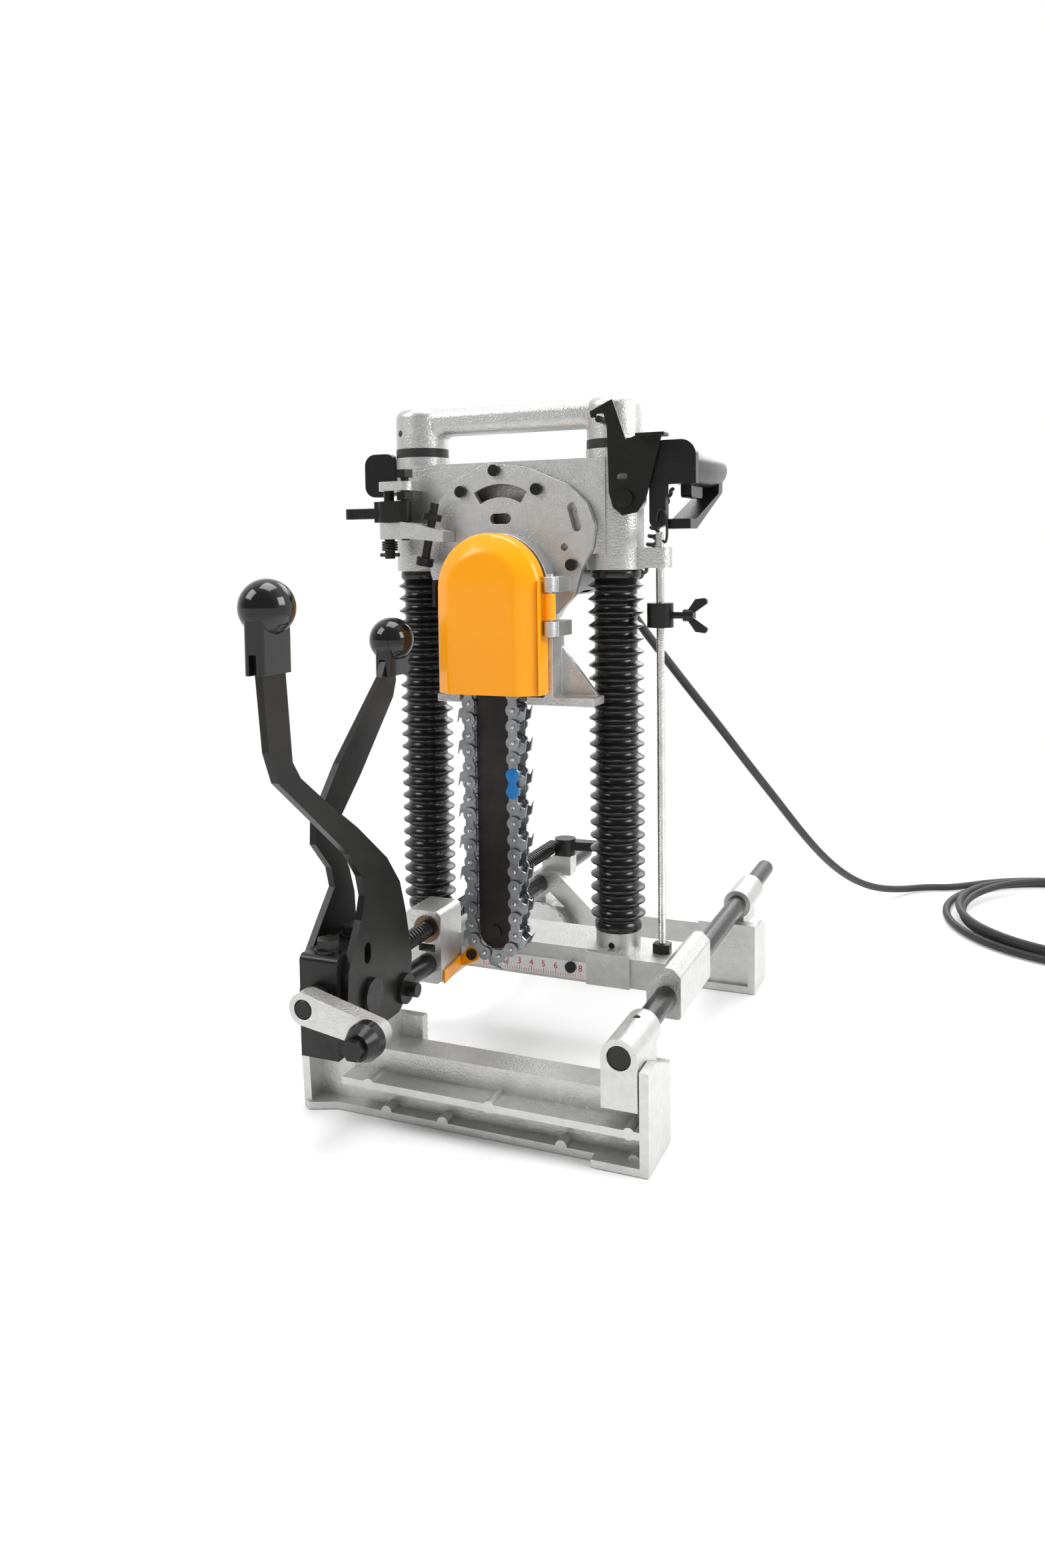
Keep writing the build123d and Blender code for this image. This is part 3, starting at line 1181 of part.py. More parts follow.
cord_points = [cord_exit, (56.5, 238, 339.6), (66, 244, 322), (80, 258, 298), (98, 275, 268), (118, 300, 233),
               (138, 335, 192), (156, 378, 151), (172, 425, 110), (187, 476, 73), (203, 530, 42),
               (221, 584, 19), (243, 634, 5.5), (270, 660, 4), (298, 668, 4)]
cord_radii = []
for before, here, after in zip(cord_points[:-2], cord_points[1:-1], cord_points[2:]):
    run_in = Vector(*here) - Vector(*before)
    run_out = Vector(*after) - Vector(*here)
    turn_angle = radians(run_in.get_angle(run_out))
    cord_radii.append(0.45 * min(run_in.length, run_out.length) / tan(turn_angle / 2))
print("cord bend radii:", [round(r) for r in cord_radii])

with BuildPart() as mains_cord:
    with BuildLine() as cord_path:
        FilletPolyline(*cord_points, radius=cord_radii)
    with BuildSketch(Plane(origin=cord_points[0], z_dir=cord_path.line @ 0.001 - cord_path.line @ 0)):
        Circle(cord_d / 2)
    sweep()
cord_length = sum(edge.length for edge in cord_path.edges())
cord_section = pi * cord_d ** 2 / 4
print(f"cord tube length {cord_length:.0f}, volume ratio {mains_cord.part.volume / (cord_section * cord_length):.4f}")
save(mains_cord, "mains_cord")

coil_outer_r = 156.0
coil_inner_r = 112.0
coil_height = 16.0
with BuildPart() as cord_coil:
    bar_along_z(coil_x, coil_y, 0.2, coil_height, coil_outer_r)
    bar_along_z(coil_x, coil_y, -1, coil_height + 1, coil_inner_r, Mode.SUBTRACT)
    fillet(cord_coil.edges().filter_by(GeomType.CIRCLE), 3)
save(cord_coil, "cord_coil")

plug_x = coil_x + coil_inner_r - 12
with BuildPart() as plug:
    with BuildSketch(Plane(origin=(plug_x, coil_y, 14), z_dir=(0, -1, 0), x_dir=(1, 0, 0))):
        RectangleRounded(26, 26, 8)
    extrude(amount=34, both=True, taper=6)
    for pin_side in (-1, 1):
        bar_along_y(plug_x + 6 * pin_side, 14, coil_y - 52, coil_y - 30, 2.2)
save(plug, "plug")

# curly lead between the switch in the right grip and the motor
with BuildPart() as switch_cord:
    curl = [(120, 152, 432), (112, 158, 424), (101, 168, 404), (94, 178, 382), (82, 188, 366), (64, 196, 362),
            (46, 200, 372)]
    with BuildLine():
        FilletPolyline(*curl, radius=10)
    with BuildSketch(Plane(origin=curl[0], z_dir=Vector(*curl[1]) - Vector(*curl[0]))):
        Circle(5)
    sweep()
save(switch_cord, "switch_cord")
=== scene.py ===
import json
from math import cos, pi, radians, sin

import bmesh
import bpy
from mathutils import Matrix, Vector


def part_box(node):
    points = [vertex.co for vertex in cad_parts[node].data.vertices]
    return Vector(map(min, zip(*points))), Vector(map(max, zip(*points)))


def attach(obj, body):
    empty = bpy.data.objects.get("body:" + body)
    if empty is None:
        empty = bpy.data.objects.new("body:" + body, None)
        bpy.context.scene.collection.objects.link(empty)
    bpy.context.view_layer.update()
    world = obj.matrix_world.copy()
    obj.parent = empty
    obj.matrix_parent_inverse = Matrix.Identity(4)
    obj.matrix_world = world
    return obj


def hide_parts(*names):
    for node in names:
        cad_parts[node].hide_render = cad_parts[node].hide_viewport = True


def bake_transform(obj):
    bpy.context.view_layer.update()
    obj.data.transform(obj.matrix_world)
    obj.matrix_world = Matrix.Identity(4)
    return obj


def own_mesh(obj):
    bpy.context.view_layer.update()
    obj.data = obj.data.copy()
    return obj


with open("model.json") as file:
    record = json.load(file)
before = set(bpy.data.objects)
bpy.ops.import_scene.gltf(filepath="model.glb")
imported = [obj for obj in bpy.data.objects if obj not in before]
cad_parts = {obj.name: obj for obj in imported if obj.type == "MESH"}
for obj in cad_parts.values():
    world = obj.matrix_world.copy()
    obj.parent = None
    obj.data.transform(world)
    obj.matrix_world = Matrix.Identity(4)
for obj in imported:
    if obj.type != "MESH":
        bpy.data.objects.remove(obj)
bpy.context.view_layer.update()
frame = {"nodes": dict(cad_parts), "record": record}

# ------------------------------------------------------------------ camera
# A tall frame seen from the right of the guide bar, a little above the carriage, standing about
# 0.8 m away. The lens is slightly wide, and the frame is shifted so that the machine sits low in it.
camera_place = Vector((0.3539, -0.6896, 0.3853))
camera_turn = radians(22.87)
camera_dip = radians(3.54)
camera_roll = radians(0.75)
ahead = Vector((-sin(camera_turn) * cos(camera_dip), cos(camera_turn) * cos(camera_dip), -sin(camera_dip)))
level_right = Vector((cos(camera_turn), sin(camera_turn), 0))
level_down = ahead.cross(level_right)
rolled_right = cos(camera_roll) * level_right + sin(camera_roll) * level_down
rolled_down = cos(camera_roll) * level_down - sin(camera_roll) * level_right
camera_data = bpy.data.cameras.new("camera")
camera_data.lens = 26.46
camera_data.sensor_width = 36
camera_data.shift_x = -0.0021
camera_data.shift_y = -0.102
camera_data.clip_start = 0.05
camera = bpy.data.objects.new("camera", camera_data)
bpy.context.scene.collection.objects.link(camera)
axes = Matrix((rolled_right, -rolled_down, -ahead)).transposed()
camera.matrix_world = Matrix.Translation(camera_place) @ axes.to_4x4()
bpy.context.scene.camera = camera


# ------------------------------------------------------------------ mains cord
# A black rubber-sheathed mains lead. It leaves the gland under the motor, hangs down behind the
# right column, runs out over the floor and lies there in loose turns that end in the plug.
def procedural(name, colour, roughness, metallic=0.0):
    """A new material with its shader's own sockets set; returns the material, its nodes and its shader."""
    material = bpy.data.materials.new(name)
    material.use_nodes = True
    nodes = material.node_tree.nodes
    shader = nodes["Principled BSDF"]
    shader.inputs["Base Color"].default_value = (*colour, 1)
    shader.inputs["Roughness"].default_value = roughness
    shader.inputs["Metallic"].default_value = metallic
    return material, nodes, shader


def grain(material, scale, bump_height, detail=3.0, roughness_range=None, colours=None, colour_scale=None,
          stretch=(1, 1, 1)):
    """Adds a noise bump on Object coordinates, and optional variation of roughness and colour."""
    nodes, links = material.node_tree.nodes, material.node_tree.links
    shader = nodes["Principled BSDF"]
    place = nodes.new("ShaderNodeTexCoord")
    mapping = nodes.new("ShaderNodeMapping")
    mapping.inputs["Scale"].default_value = stretch
    links.new(place.outputs["Object"], mapping.inputs["Vector"])
    noise = nodes.new("ShaderNodeTexNoise")
    noise.inputs["Scale"].default_value = scale
    noise.inputs["Detail"].default_value = detail
    links.new(mapping.outputs["Vector"], noise.inputs["Vector"])
    bump = nodes.new("ShaderNodeBump")
    bump.inputs["Strength"].default_value = 0.6
    bump.inputs["Distance"].default_value = bump_height
    links.new(noise.outputs["Fac"], bump.inputs["Height"])
    links.new(bump.outputs["Normal"], shader.inputs["Normal"])
    if roughness_range:
        spread = nodes.new("ShaderNodeMapRange")
        spread.inputs["From Min"].default_value = 0.3
        spread.inputs["From Max"].default_value = 0.7
        spread.inputs["To Min"].default_value = roughness_range[0]
        spread.inputs["To Max"].default_value = roughness_range[1]
        links.new(noise.outputs["Fac"], spread.inputs["Value"])
        links.new(spread.outputs["Result"], shader.inputs["Roughness"])
    if colours:
        blotch = nodes.new("ShaderNodeTexNoise")
        blotch.inputs["Scale"].default_value = colour_scale or scale / 12
        blotch.inputs["Detail"].default_value = 5
        links.new(mapping.outputs["Vector"], blotch.inputs["Vector"])
        ramp = nodes.new("ShaderNodeValToRGB")
        ramp.color_ramp.elements[0].position = 0.35
        ramp.color_ramp.elements[1].position = 0.65
        ramp.color_ramp.elements[0].color = (*colours[0], 1)
        ramp.color_ramp.elements[1].color = (*colours[1], 1)
        links.new(blotch.outputs["Fac"], ramp.inputs["Fac"])
        links.new(ramp.outputs["Color"], shader.inputs["Base Color"])
    return material


sheath = procedural("cord_sheath", (0.012, 0.012, 0.012), 0.55)[0]
grain(sheath, 900, 0.0002, colours=((0.010, 0.010, 0.010), (0.022, 0.022, 0.021)), colour_scale=60)
cord_thickness = 0.0075
gland_tip = (0.050, 0.238, 0.350)
cord_route = [gland_tip, (0.0565, 0.238, 0.3396), (0.066, 0.244, 0.322), (0.080, 0.258, 0.298),
              (0.098, 0.275, 0.268), (0.118, 0.300, 0.233), (0.138, 0.335, 0.192), (0.156, 0.378, 0.151),
              (0.172, 0.425, 0.110), (0.187, 0.476, 0.073), (0.203, 0.530, 0.042), (0.221, 0.584, 0.019),
              (0.243, 0.634, 0.0055), (0.270, 0.660, 0.004), (0.298, 0.668, 0.004)]
coil_centre = (0.432, 0.588)
coil_start = 149
coil_sweep = 1210
coil_steps = 56
plug_entry = (0.532, 0.620, 0.014)


def turn_radius(turned):
    """Radius of the loose coil after so many degrees: two turns on the floor, the rest lying on them."""
    lower = 0.152 - 0.0135 * turned / 360
    upper = 0.134 + 0.007 * sin(radians(turned * 0.9))
    rise = min(1, max(0, (turned - 690) / 90))
    inward = min(1, max(0, (turned - 1080) / 130))
    return lower + (upper - lower) * rise + (0.104 - upper) * inward * rise


for step in range(1, coil_steps + 1):
    turned = coil_sweep * step / coil_steps
    angle = radians(coil_start - turned)
    lift = min(1, max(0, (turned - 660) / 70))
    drift = 0.006 * lift * (1 - turned / coil_sweep) * 3
    r = turn_radius(turned)
    cord_route.append((coil_centre[0] + drift + r * cos(angle), coil_centre[1] - drift + r * sin(angle),
                       0.004 + 0.0085 * lift + 0.0015 * (turned > 1150)))
cord_route.append(plug_entry)
cord_curve = bpy.data.curves.new("mains_lead", "CURVE")
cord_curve.dimensions = "3D"
cord_curve.bevel_depth = cord_thickness / 2
cord_curve.bevel_resolution = 4
cord_curve.resolution_u = 8
cord_curve.use_fill_caps = True
cord_line = cord_curve.splines.new("NURBS")
cord_line.points.add(len(cord_route) - 1)
for point, place in zip(cord_line.points, cord_route):
    point.co = (*place, 1)
cord_line.order_u = 3
cord_line.use_endpoint_u = True
mains_lead = bpy.data.objects.new("mains_lead", cord_curve)
bpy.context.scene.collection.objects.link(mains_lead)
cord_curve.materials.append(sheath)


def pick(*pieces):
    """Selects these pieces and nothing else, and makes the first of them active."""
    bpy.ops.object.select_all(action="DESELECT")
    for each in pieces:
        each.select_set(True)
    bpy.context.view_layer.objects.active = pieces[0]


def as_mesh(obj):
    """Turns a curve or text object into a mesh object in place, keeping its name and material."""
    pick(obj)
    bpy.ops.object.convert(target="MESH")
    return bpy.context.view_layer.objects.active


def traced(route):
    """Points along the smooth line of a route, in order from its first end."""
    centreline = bpy.data.curves.new("centreline", "CURVE")
    centreline.dimensions = "3D"
    centreline.resolution_u = 8
    track = centreline.splines.new("NURBS")
    track.points.add(len(route) - 1)
    for point, place in zip(track.points, route):
        point.co = (*place, 1)
    track.order_u = 3
    track.use_endpoint_u = True
    tracer = bpy.data.objects.new("tracer", centreline)
    bpy.context.scene.collection.objects.link(tracer)
    bpy.context.view_layer.update()
    line = bpy.data.meshes.new_from_object(tracer.evaluated_get(bpy.context.evaluated_depsgraph_get()))
    bpy.data.objects.remove(tracer)
    return [tuple(v.co) for v in line.vertices]


lead_path = traced(cord_route)
mains_lead = as_mesh(mains_lead)
bpy.ops.object.shade_smooth()
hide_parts("mains_cord", "cord_coil")
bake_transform(mains_lead)

# ------------------------------------------------------------------ floor and light
# A seamless pale floor that brightens into a white surround, one broad soft key from the upper left,
# a fill from the right and a strip behind, so that the black pieces get long soft highlights.
bpy.ops.mesh.primitive_plane_add(size=40, location=(0, 0, -0.0005))
floor = bpy.context.active_object
floor.name = "floor"
floor_paint, floor_nodes, floor_shader = procedural("floor_paint", (0.9, 0.9, 0.9), 0.7)
floor_links = floor_paint.node_tree.links
floor_place = floor_nodes.new("ShaderNodeTexCoord")
from_middle = floor_nodes.new("ShaderNodeVectorMath")
from_middle.operation = "DISTANCE"
from_middle.inputs[1].default_value = (0.02, 0.12, 0)
glow = floor_nodes.new("ShaderNodeMapRange")
glow.interpolation_type = "SMOOTHSTEP"
glow.inputs["From Min"].default_value = 0.28
glow.inputs["From Max"].default_value = 0.95
floor_links.new(floor_place.outputs["Object"], from_middle.inputs[0])
floor_links.new(from_middle.outputs["Value"], glow.inputs["Value"])
surround = floor_nodes.new("ShaderNodeEmission")
surround.inputs["Color"].default_value = (1, 1, 1, 1)
blended = floor_nodes.new("ShaderNodeMixShader")
floor_links.new(glow.outputs["Result"], blended.inputs["Fac"])
floor_links.new(floor_shader.outputs["BSDF"], blended.inputs[1])
floor_links.new(surround.outputs["Emission"], blended.inputs[2])
floor_links.new(blended.outputs["Shader"], floor_nodes["Material Output"].inputs["Surface"])
floor.data.materials.append(floor_paint)
lit_point = Vector((0, 0.1, 0.2))
lights = (("key", (-1.1, -0.9, 1.5), 0.9, 16), ("fill", (1.5, 0.1, 1.0), 0.8, 16),
          ("rim", (0.3, 1.9, 1.4), 1.4, 20), ("top", (0, 0.1, 2.2), 1.2, 26))
for name, place, size, power in lights:
    lamp_data = bpy.data.lights.new(name, "AREA")
    lamp_data.size = size
    lamp_data.energy = power
    lamp = bpy.data.objects.new(name, lamp_data)
    bpy.context.scene.collection.objects.link(lamp)
    lamp.location = place
    lamp.rotation_euler = (lit_point - Vector(place)).to_track_quat("-Z", "Y").to_euler()
world = bpy.data.worlds.new("studio")
bpy.context.scene.world = world
world.use_nodes = True
sky = world.node_tree.nodes
heading = sky.new("ShaderNodeTexCoord")
parts = sky.new("ShaderNodeSeparateXYZ")
fade = sky.new("ShaderNodeMapRange")
fade.inputs["From Min"].default_value = -0.5
fade.inputs["From Max"].default_value = 0.35
fade.inputs["To Min"].default_value = 0.22
fade.inputs["To Max"].default_value = 1.05
world.node_tree.links.new(heading.outputs["Generated"], parts.inputs["Vector"])
world.node_tree.links.new(parts.outputs["Y"], fade.inputs["Value"])
seen = sky.new("ShaderNodeLightPath")
strength = sky.new("ShaderNodeMix")
strength.inputs["B"].default_value = 1.0
world.node_tree.links.new(seen.outputs["Is Camera Ray"], strength.inputs["Factor"])
world.node_tree.links.new(fade.outputs["Result"], strength.inputs["A"])
world.node_tree.links.new(strength.outputs["Result"], sky["Background"].inputs["Strength"])
sky["Background"].inputs["Color"].default_value = (1, 1, 1, 1)
bpy.context.scene.view_settings.view_transform = "Standard"
bpy.ops.object.select_all(action="DESELECT")


# ------------------------------------------------------------------ jaws and carriage castings
# Pressure-cast aluminium, shot-blasted all over: the jaws, the carriage, the head, its bar mount and
# the carrying handle. Edges come out of the die slightly rounded.
def softened(node, body, material, width=0.0007, segments=2, name=None, angle=30, corner=0):
    """A cleaned copy of a CAD node with its sharp edges rounded; it rides on the body for the node.

    With a corner size, the outline corners of a plate that lies across X are swept into curves first.
    """
    source = frame["nodes"][node]
    piece = bpy.data.objects.new(name or node + "_cast", source.data.copy())
    bpy.context.scene.collection.objects.link(piece)
    work = bmesh.new()
    work.from_mesh(piece.data)
    bmesh.ops.remove_doubles(work, verts=work.verts, dist=0.000005)
    bmesh.ops.dissolve_limit(work, angle_limit=radians(1.2), verts=work.verts, edges=work.edges)
    if corner:
        bends = [edge for edge in work.edges if len(edge.link_faces) == 2
                 and abs((edge.verts[0].co - edge.verts[1].co).normalized().x) > 0.99
                 and radians(6) < edge.calc_face_angle() < radians(60)]
        bmesh.ops.bevel(work, geom=bends, offset=corner, segments=4, profile=0.5, affect="EDGES",
                        clamp_overlap=True)
    work.to_mesh(piece.data)
    work.free()
    piece.data.materials.clear()
    piece.data.materials.append(material)
    pick(piece)
    if width:
        rounding = piece.modifiers.new("rounding", "BEVEL")
        rounding.width = width
        rounding.segments = segments
        rounding.limit_method = "ANGLE"
        rounding.angle_limit = radians(angle)
        rounding.miter_outer = "MITER_ARC"
        rounding.use_clamp_overlap = True
        bpy.ops.object.modifier_apply(modifier="rounding")
    bpy.ops.object.shade_smooth_by_angle(angle=radians(35))
    flats = piece.modifiers.new("flats", "WEIGHTED_NORMAL")
    flats.weight = 60
    flats.keep_sharp = True
    bpy.ops.object.modifier_apply(modifier="flats")
    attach(piece, body)
    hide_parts(node)
    return piece


# which body each node moves with
body_of = {}
for body_name, members in frame["record"]["behaviour"]["bodies"].items():
    for member in members:
        body_of[member] = body_name

cast_finish = procedural("cast_aluminium", (0.57, 0.57, 0.56), 0.4, 0.85)[0]
grain(cast_finish, 620, 0.0006, 2.0, (0.34, 0.46), ((0.55, 0.55, 0.54), (0.6, 0.6, 0.59)), 140)
for casting, width in (("front_jaw", 0.0008), ("rear_jaw", 0.0008), ("carriage", 0.001),
                       ("head_casting", 0.0012), ("bar_mount", 0.0006), ("top_handle", 0.0012),
                       ("crank_arm", 0.001), ("gear_cover", 0.0007)):
    softened(casting, body_of[casting], cast_finish, width)


def dress(material, *nodes):
    """Gives CAD nodes whose shape stays a finish."""
    for node in nodes:
        carried = frame["nodes"][node]
        carried.data.materials.clear()
        carried.data.materials.append(material)


# ------------------------------------------------------------------ rods, columns and machine screws
# Ground shafting: the guide rods are blackened and oiled, the columns bright. Screws are zinc plated
# or black oxide.
black_oxide, _, oxide_shader = procedural("black_oxide", (0.014, 0.013, 0.012), 0.28, 0.3)
oxide_shader.inputs["Specular IOR Level"].default_value = 0.4
grain(black_oxide, 300, 0.00002, 2.0, (0.24, 0.34), ((0.011, 0.011, 0.011), (0.02, 0.019, 0.018)), 40)
# the nut on the crank's spigot is one piece with the arm, so its faces alone are blackened
crank_casting = bpy.data.objects["crank_arm_cast"]
spigot_front = -0.0926
crank_casting.data.materials.append(black_oxide)
for face in crank_casting.data.polygons:
    if face.center.y < spigot_front:
        face.material_index = 1
zinc = procedural("zinc_plate", (0.68, 0.68, 0.66), 0.28, 1.0)[0]
grain(zinc, 400, 0.00006, 2.0, (0.22, 0.36), ((0.6, 0.6, 0.58), (0.74, 0.74, 0.72)), 60)
dress(black_oxide, "guide_rod_left", "guide_rod_right", "screw_bracket", "base_screws", "lever_pivots",
      "carriage_screws", "head_screws", "cover_clip", "latch_pin", "tension_bolt", "stop_bolt",
      "depth_collar", "rod_lock_lever")
dress(zinc, "column_left", "column_right", "hinge_pin", "spindle")
bpy.ops.object.select_all(action="DESELECT")

# ------------------------------------------------------------------ painted levers and latch
# Laser-cut steel plate with black powder coat.
lever_coat, _, coat_shader = procedural("lever_coat", (0.009, 0.0085, 0.008), 0.34)
coat_shader.inputs["Specular IOR Level"].default_value = 0.3
grain(lever_coat, 650, 0.00005, 2.0, (0.28, 0.4), ((0.007, 0.007, 0.0065), (0.013, 0.012, 0.011)), 30)
for plate, corner in (("clamp_lever_front", 0.009), ("clamp_lever_rear", 0.009),
                      ("latch_plate", 0), ("stop_lever", 0)):
    softened(plate, body_of[plate], lever_coat, 0.0006, corner=corner)

# ------------------------------------------------------------------ moulded plastic
# Grips, trigger, knobs and motor shells are black nylon with a fine spark-eroded grain.
nylon, _, nylon_shader = procedural("black_nylon", (0.011, 0.011, 0.012), 0.3)
nylon_shader.inputs["Specular IOR Level"].default_value = 0.32
grain(nylon, 1400, 0.00006, 2.0, (0.2, 0.34))
for moulding in ("right_grip", "left_grip"):
    softened(moulding, "head", nylon, 0.0015, 3, name=moulding + "_shell")
dress(nylon, "trigger", "crank_knob", "motor_housing", "motor_end_cap", "plug", "cord_gland", "wing_screw")
phenolic = procedural("black_phenolic", (0.008, 0.008, 0.008), 0.1)[0]
grain(phenolic, 90, 0.00002, 2.0, (0.07, 0.14))
ball_radius, ball_skin = 0.0165, 0.00015
for ball in ("ball_knob_front", "ball_knob_rear"):
    low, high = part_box(ball)
    softened(ball, body_of[ball], phenolic, 0.0006, name=ball + "_neck")
    ball_centre = ((low.x + high.x) / 2, (low.y + high.y) / 2, high.z - ball_radius)
    bpy.ops.object.select_all(action="DESELECT")
    bpy.ops.mesh.primitive_uv_sphere_add(segments=64, ring_count=40, radius=ball_radius + ball_skin,
                                         location=ball_centre)
    globe = bpy.context.active_object
    globe.name = ball + "_globe"
    bpy.ops.object.mode_set(mode="EDIT")
    bpy.ops.mesh.select_all(action="SELECT")
    bpy.ops.mesh.bisect(plane_co=(0, 0, high.z - ball_radius * 1.86), plane_no=(0, 0, 1), use_fill=True,
                        clear_inner=True)
    bpy.ops.object.mode_set(mode="OBJECT")
    bpy.ops.object.transform_apply(location=True)
    bpy.ops.object.shade_smooth_by_angle(angle=radians(35))
    globe.data.materials.append(phenolic)
    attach(globe, body_of[ball])

# ------------------------------------------------------------------ chain cover
# Deep-drawn shell with a glossy yellow-orange enamel. Its front slopes up to a flat panel, and it swings
# on a pin through the two lugs at its right side.
enamel, _, enamel_shader = procedural("yellow_enamel", (1.0, 0.37, 0.002), 0.3)
enamel_shader.inputs["Specular IOR Level"].default_value = 0.25
enamel_shader.inputs["Coat Weight"].default_value = 0.35
enamel_shader.inputs["Coat Roughness"].default_value = 0.06
grain(enamel, 260, 0.00002, 2.0, None, ((1.0, 0.36, 0.002), (1.0, 0.38, 0.003)), 20)
low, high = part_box("chain_cover")
cover_left, cover_right, cover_back, cover_foot = low.x, 0.045, high.y, low.z
cover_half = (cover_right - cover_left) / 2
cover_middle = (cover_left + cover_right) / 2
arch_centre = high.z - cover_half
wall_depth, slope_width, sheet = 0.0152, 0.0135, 0.002
cover_drop, rim_clearance, front_skin, knuckle_overlap = 0.095, 0.0048, 0.0004, 0.0006
bpy.ops.object.select_all(action="DESELECT")
bpy.ops.mesh.primitive_circle_add(vertices=96, radius=cover_half, fill_type="NGON", rotation=(pi / 2, 0, 0),
                                  location=(cover_middle, cover_back, arch_centre))
bpy.ops.object.transform_apply(location=True, rotation=True)
shell = bpy.context.active_object
shell.name = "chain_cover_shell"
bpy.ops.object.mode_set(mode="EDIT")
bpy.ops.mesh.select_mode(type="VERT")
bpy.ops.mesh.select_all(action="DESELECT")
bpy.ops.object.mode_set(mode="OBJECT")
for corner_point in shell.data.vertices:
    corner_point.select = corner_point.co.z < arch_centre - 0.00001
bpy.ops.object.mode_set(mode="EDIT")
bpy.ops.transform.translate(value=(0, 0, -cover_drop))
bpy.ops.mesh.select_all(action="SELECT")
bpy.ops.mesh.extrude_region_move(TRANSFORM_OT_translate={"value": (0, -wall_depth, 0)})
bpy.ops.mesh.inset(thickness=slope_width, depth=0)
bpy.ops.transform.translate(value=(0, low.y + front_skin - (cover_back - wall_depth), 0))
bpy.ops.mesh.select_all(action="SELECT")
bpy.ops.mesh.normals_make_consistent(inside=False)
bpy.ops.object.mode_set(mode="OBJECT")
sweep = shell.modifiers.new("sweep", "BEVEL")
sweep.width, sweep.segments, sweep.limit_method, sweep.angle_limit = 0.003, 6, "ANGLE", radians(18)
bpy.ops.object.modifier_apply(modifier="sweep")
bpy.ops.object.mode_set(mode="EDIT")
bpy.ops.mesh.select_all(action="SELECT")
bpy.ops.mesh.bisect(plane_co=(0, 0, cover_foot), plane_no=(0, 0, 1), clear_inner=True)
bpy.ops.mesh.select_all(action="SELECT")
bpy.ops.mesh.bisect(plane_co=(0, cover_back - rim_clearance, 0), plane_no=(0, -1, 0), clear_inner=True)
bpy.ops.object.mode_set(mode="OBJECT")
wall = shell.modifiers.new("wall", "SOLIDIFY")
wall.thickness, wall.offset = sheet, -1
bpy.ops.object.modifier_apply(modifier="wall")
bpy.ops.object.shade_smooth_by_angle(angle=radians(35))
shell.data.materials.append(enamel)
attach(shell, "chain_cover")
softened("chain_cover", "chain_cover", enamel, 0.0004, name="chain_cover_knuckle")
bpy.ops.object.mode_set(mode="EDIT")
bpy.ops.mesh.select_all(action="SELECT")
bpy.ops.mesh.bisect(plane_co=(cover_right - knuckle_overlap, 0, 0), plane_no=(1, 0, 0), use_fill=True,
                    clear_inner=True)
bpy.ops.object.mode_set(mode="OBJECT")
dress(enamel, "pointer")

# ------------------------------------------------------------------ bar, chain, pads, small parts
# The guide bar is hardened plate, browned by oil, and the chain is bare steel. The feed nut is dark
# bronze, the windings and bushes inside the head are copper coloured, and the bumpers are rubber.
bar_finish = procedural("bar_finish", (0.022, 0.018, 0.016), 0.42, 0.4)[0]
grain(bar_finish, 300, 0.0001, colours=((0.016, 0.013, 0.012), (0.035, 0.028, 0.024)), colour_scale=30)
dress(bar_finish, "guide_bar")
chain_finish = procedural("chain_finish", (0.33, 0.34, 0.35), 0.34, 0.9)[0]
grain(chain_finish, 500, 0.00004, colours=((0.26, 0.27, 0.28), (0.4, 0.41, 0.42)), colour_scale=120)
dress(chain_finish, "chain")
dress(cast_finish, "pressure_pad")
copper = procedural("copper", (0.5, 0.26, 0.12), 0.35, 1.0)[0]
grain(copper, 300, 0.00004, colours=((0.42, 0.22, 0.1), (0.55, 0.3, 0.14)), colour_scale=90)
dress(copper, "bearings", "field_coil", "armature")
bronze = procedural("dark_bronze", (0.16, 0.10, 0.06), 0.32, 0.9)[0]
grain(bronze, 200, 0.00004, colours=((0.12, 0.08, 0.05), (0.2, 0.13, 0.08)), colour_scale=60)
dress(bronze, "feed_nut", "pad_spring")
bumper = procedural("bumper_rubber", (0.012, 0.012, 0.012), 0.5)[0]
grain(bumper, 500, 0.00008, colours=((0.010, 0.010, 0.010), (0.018, 0.018, 0.018)), colour_scale=60)
dress(bumper, "bumper_rings")

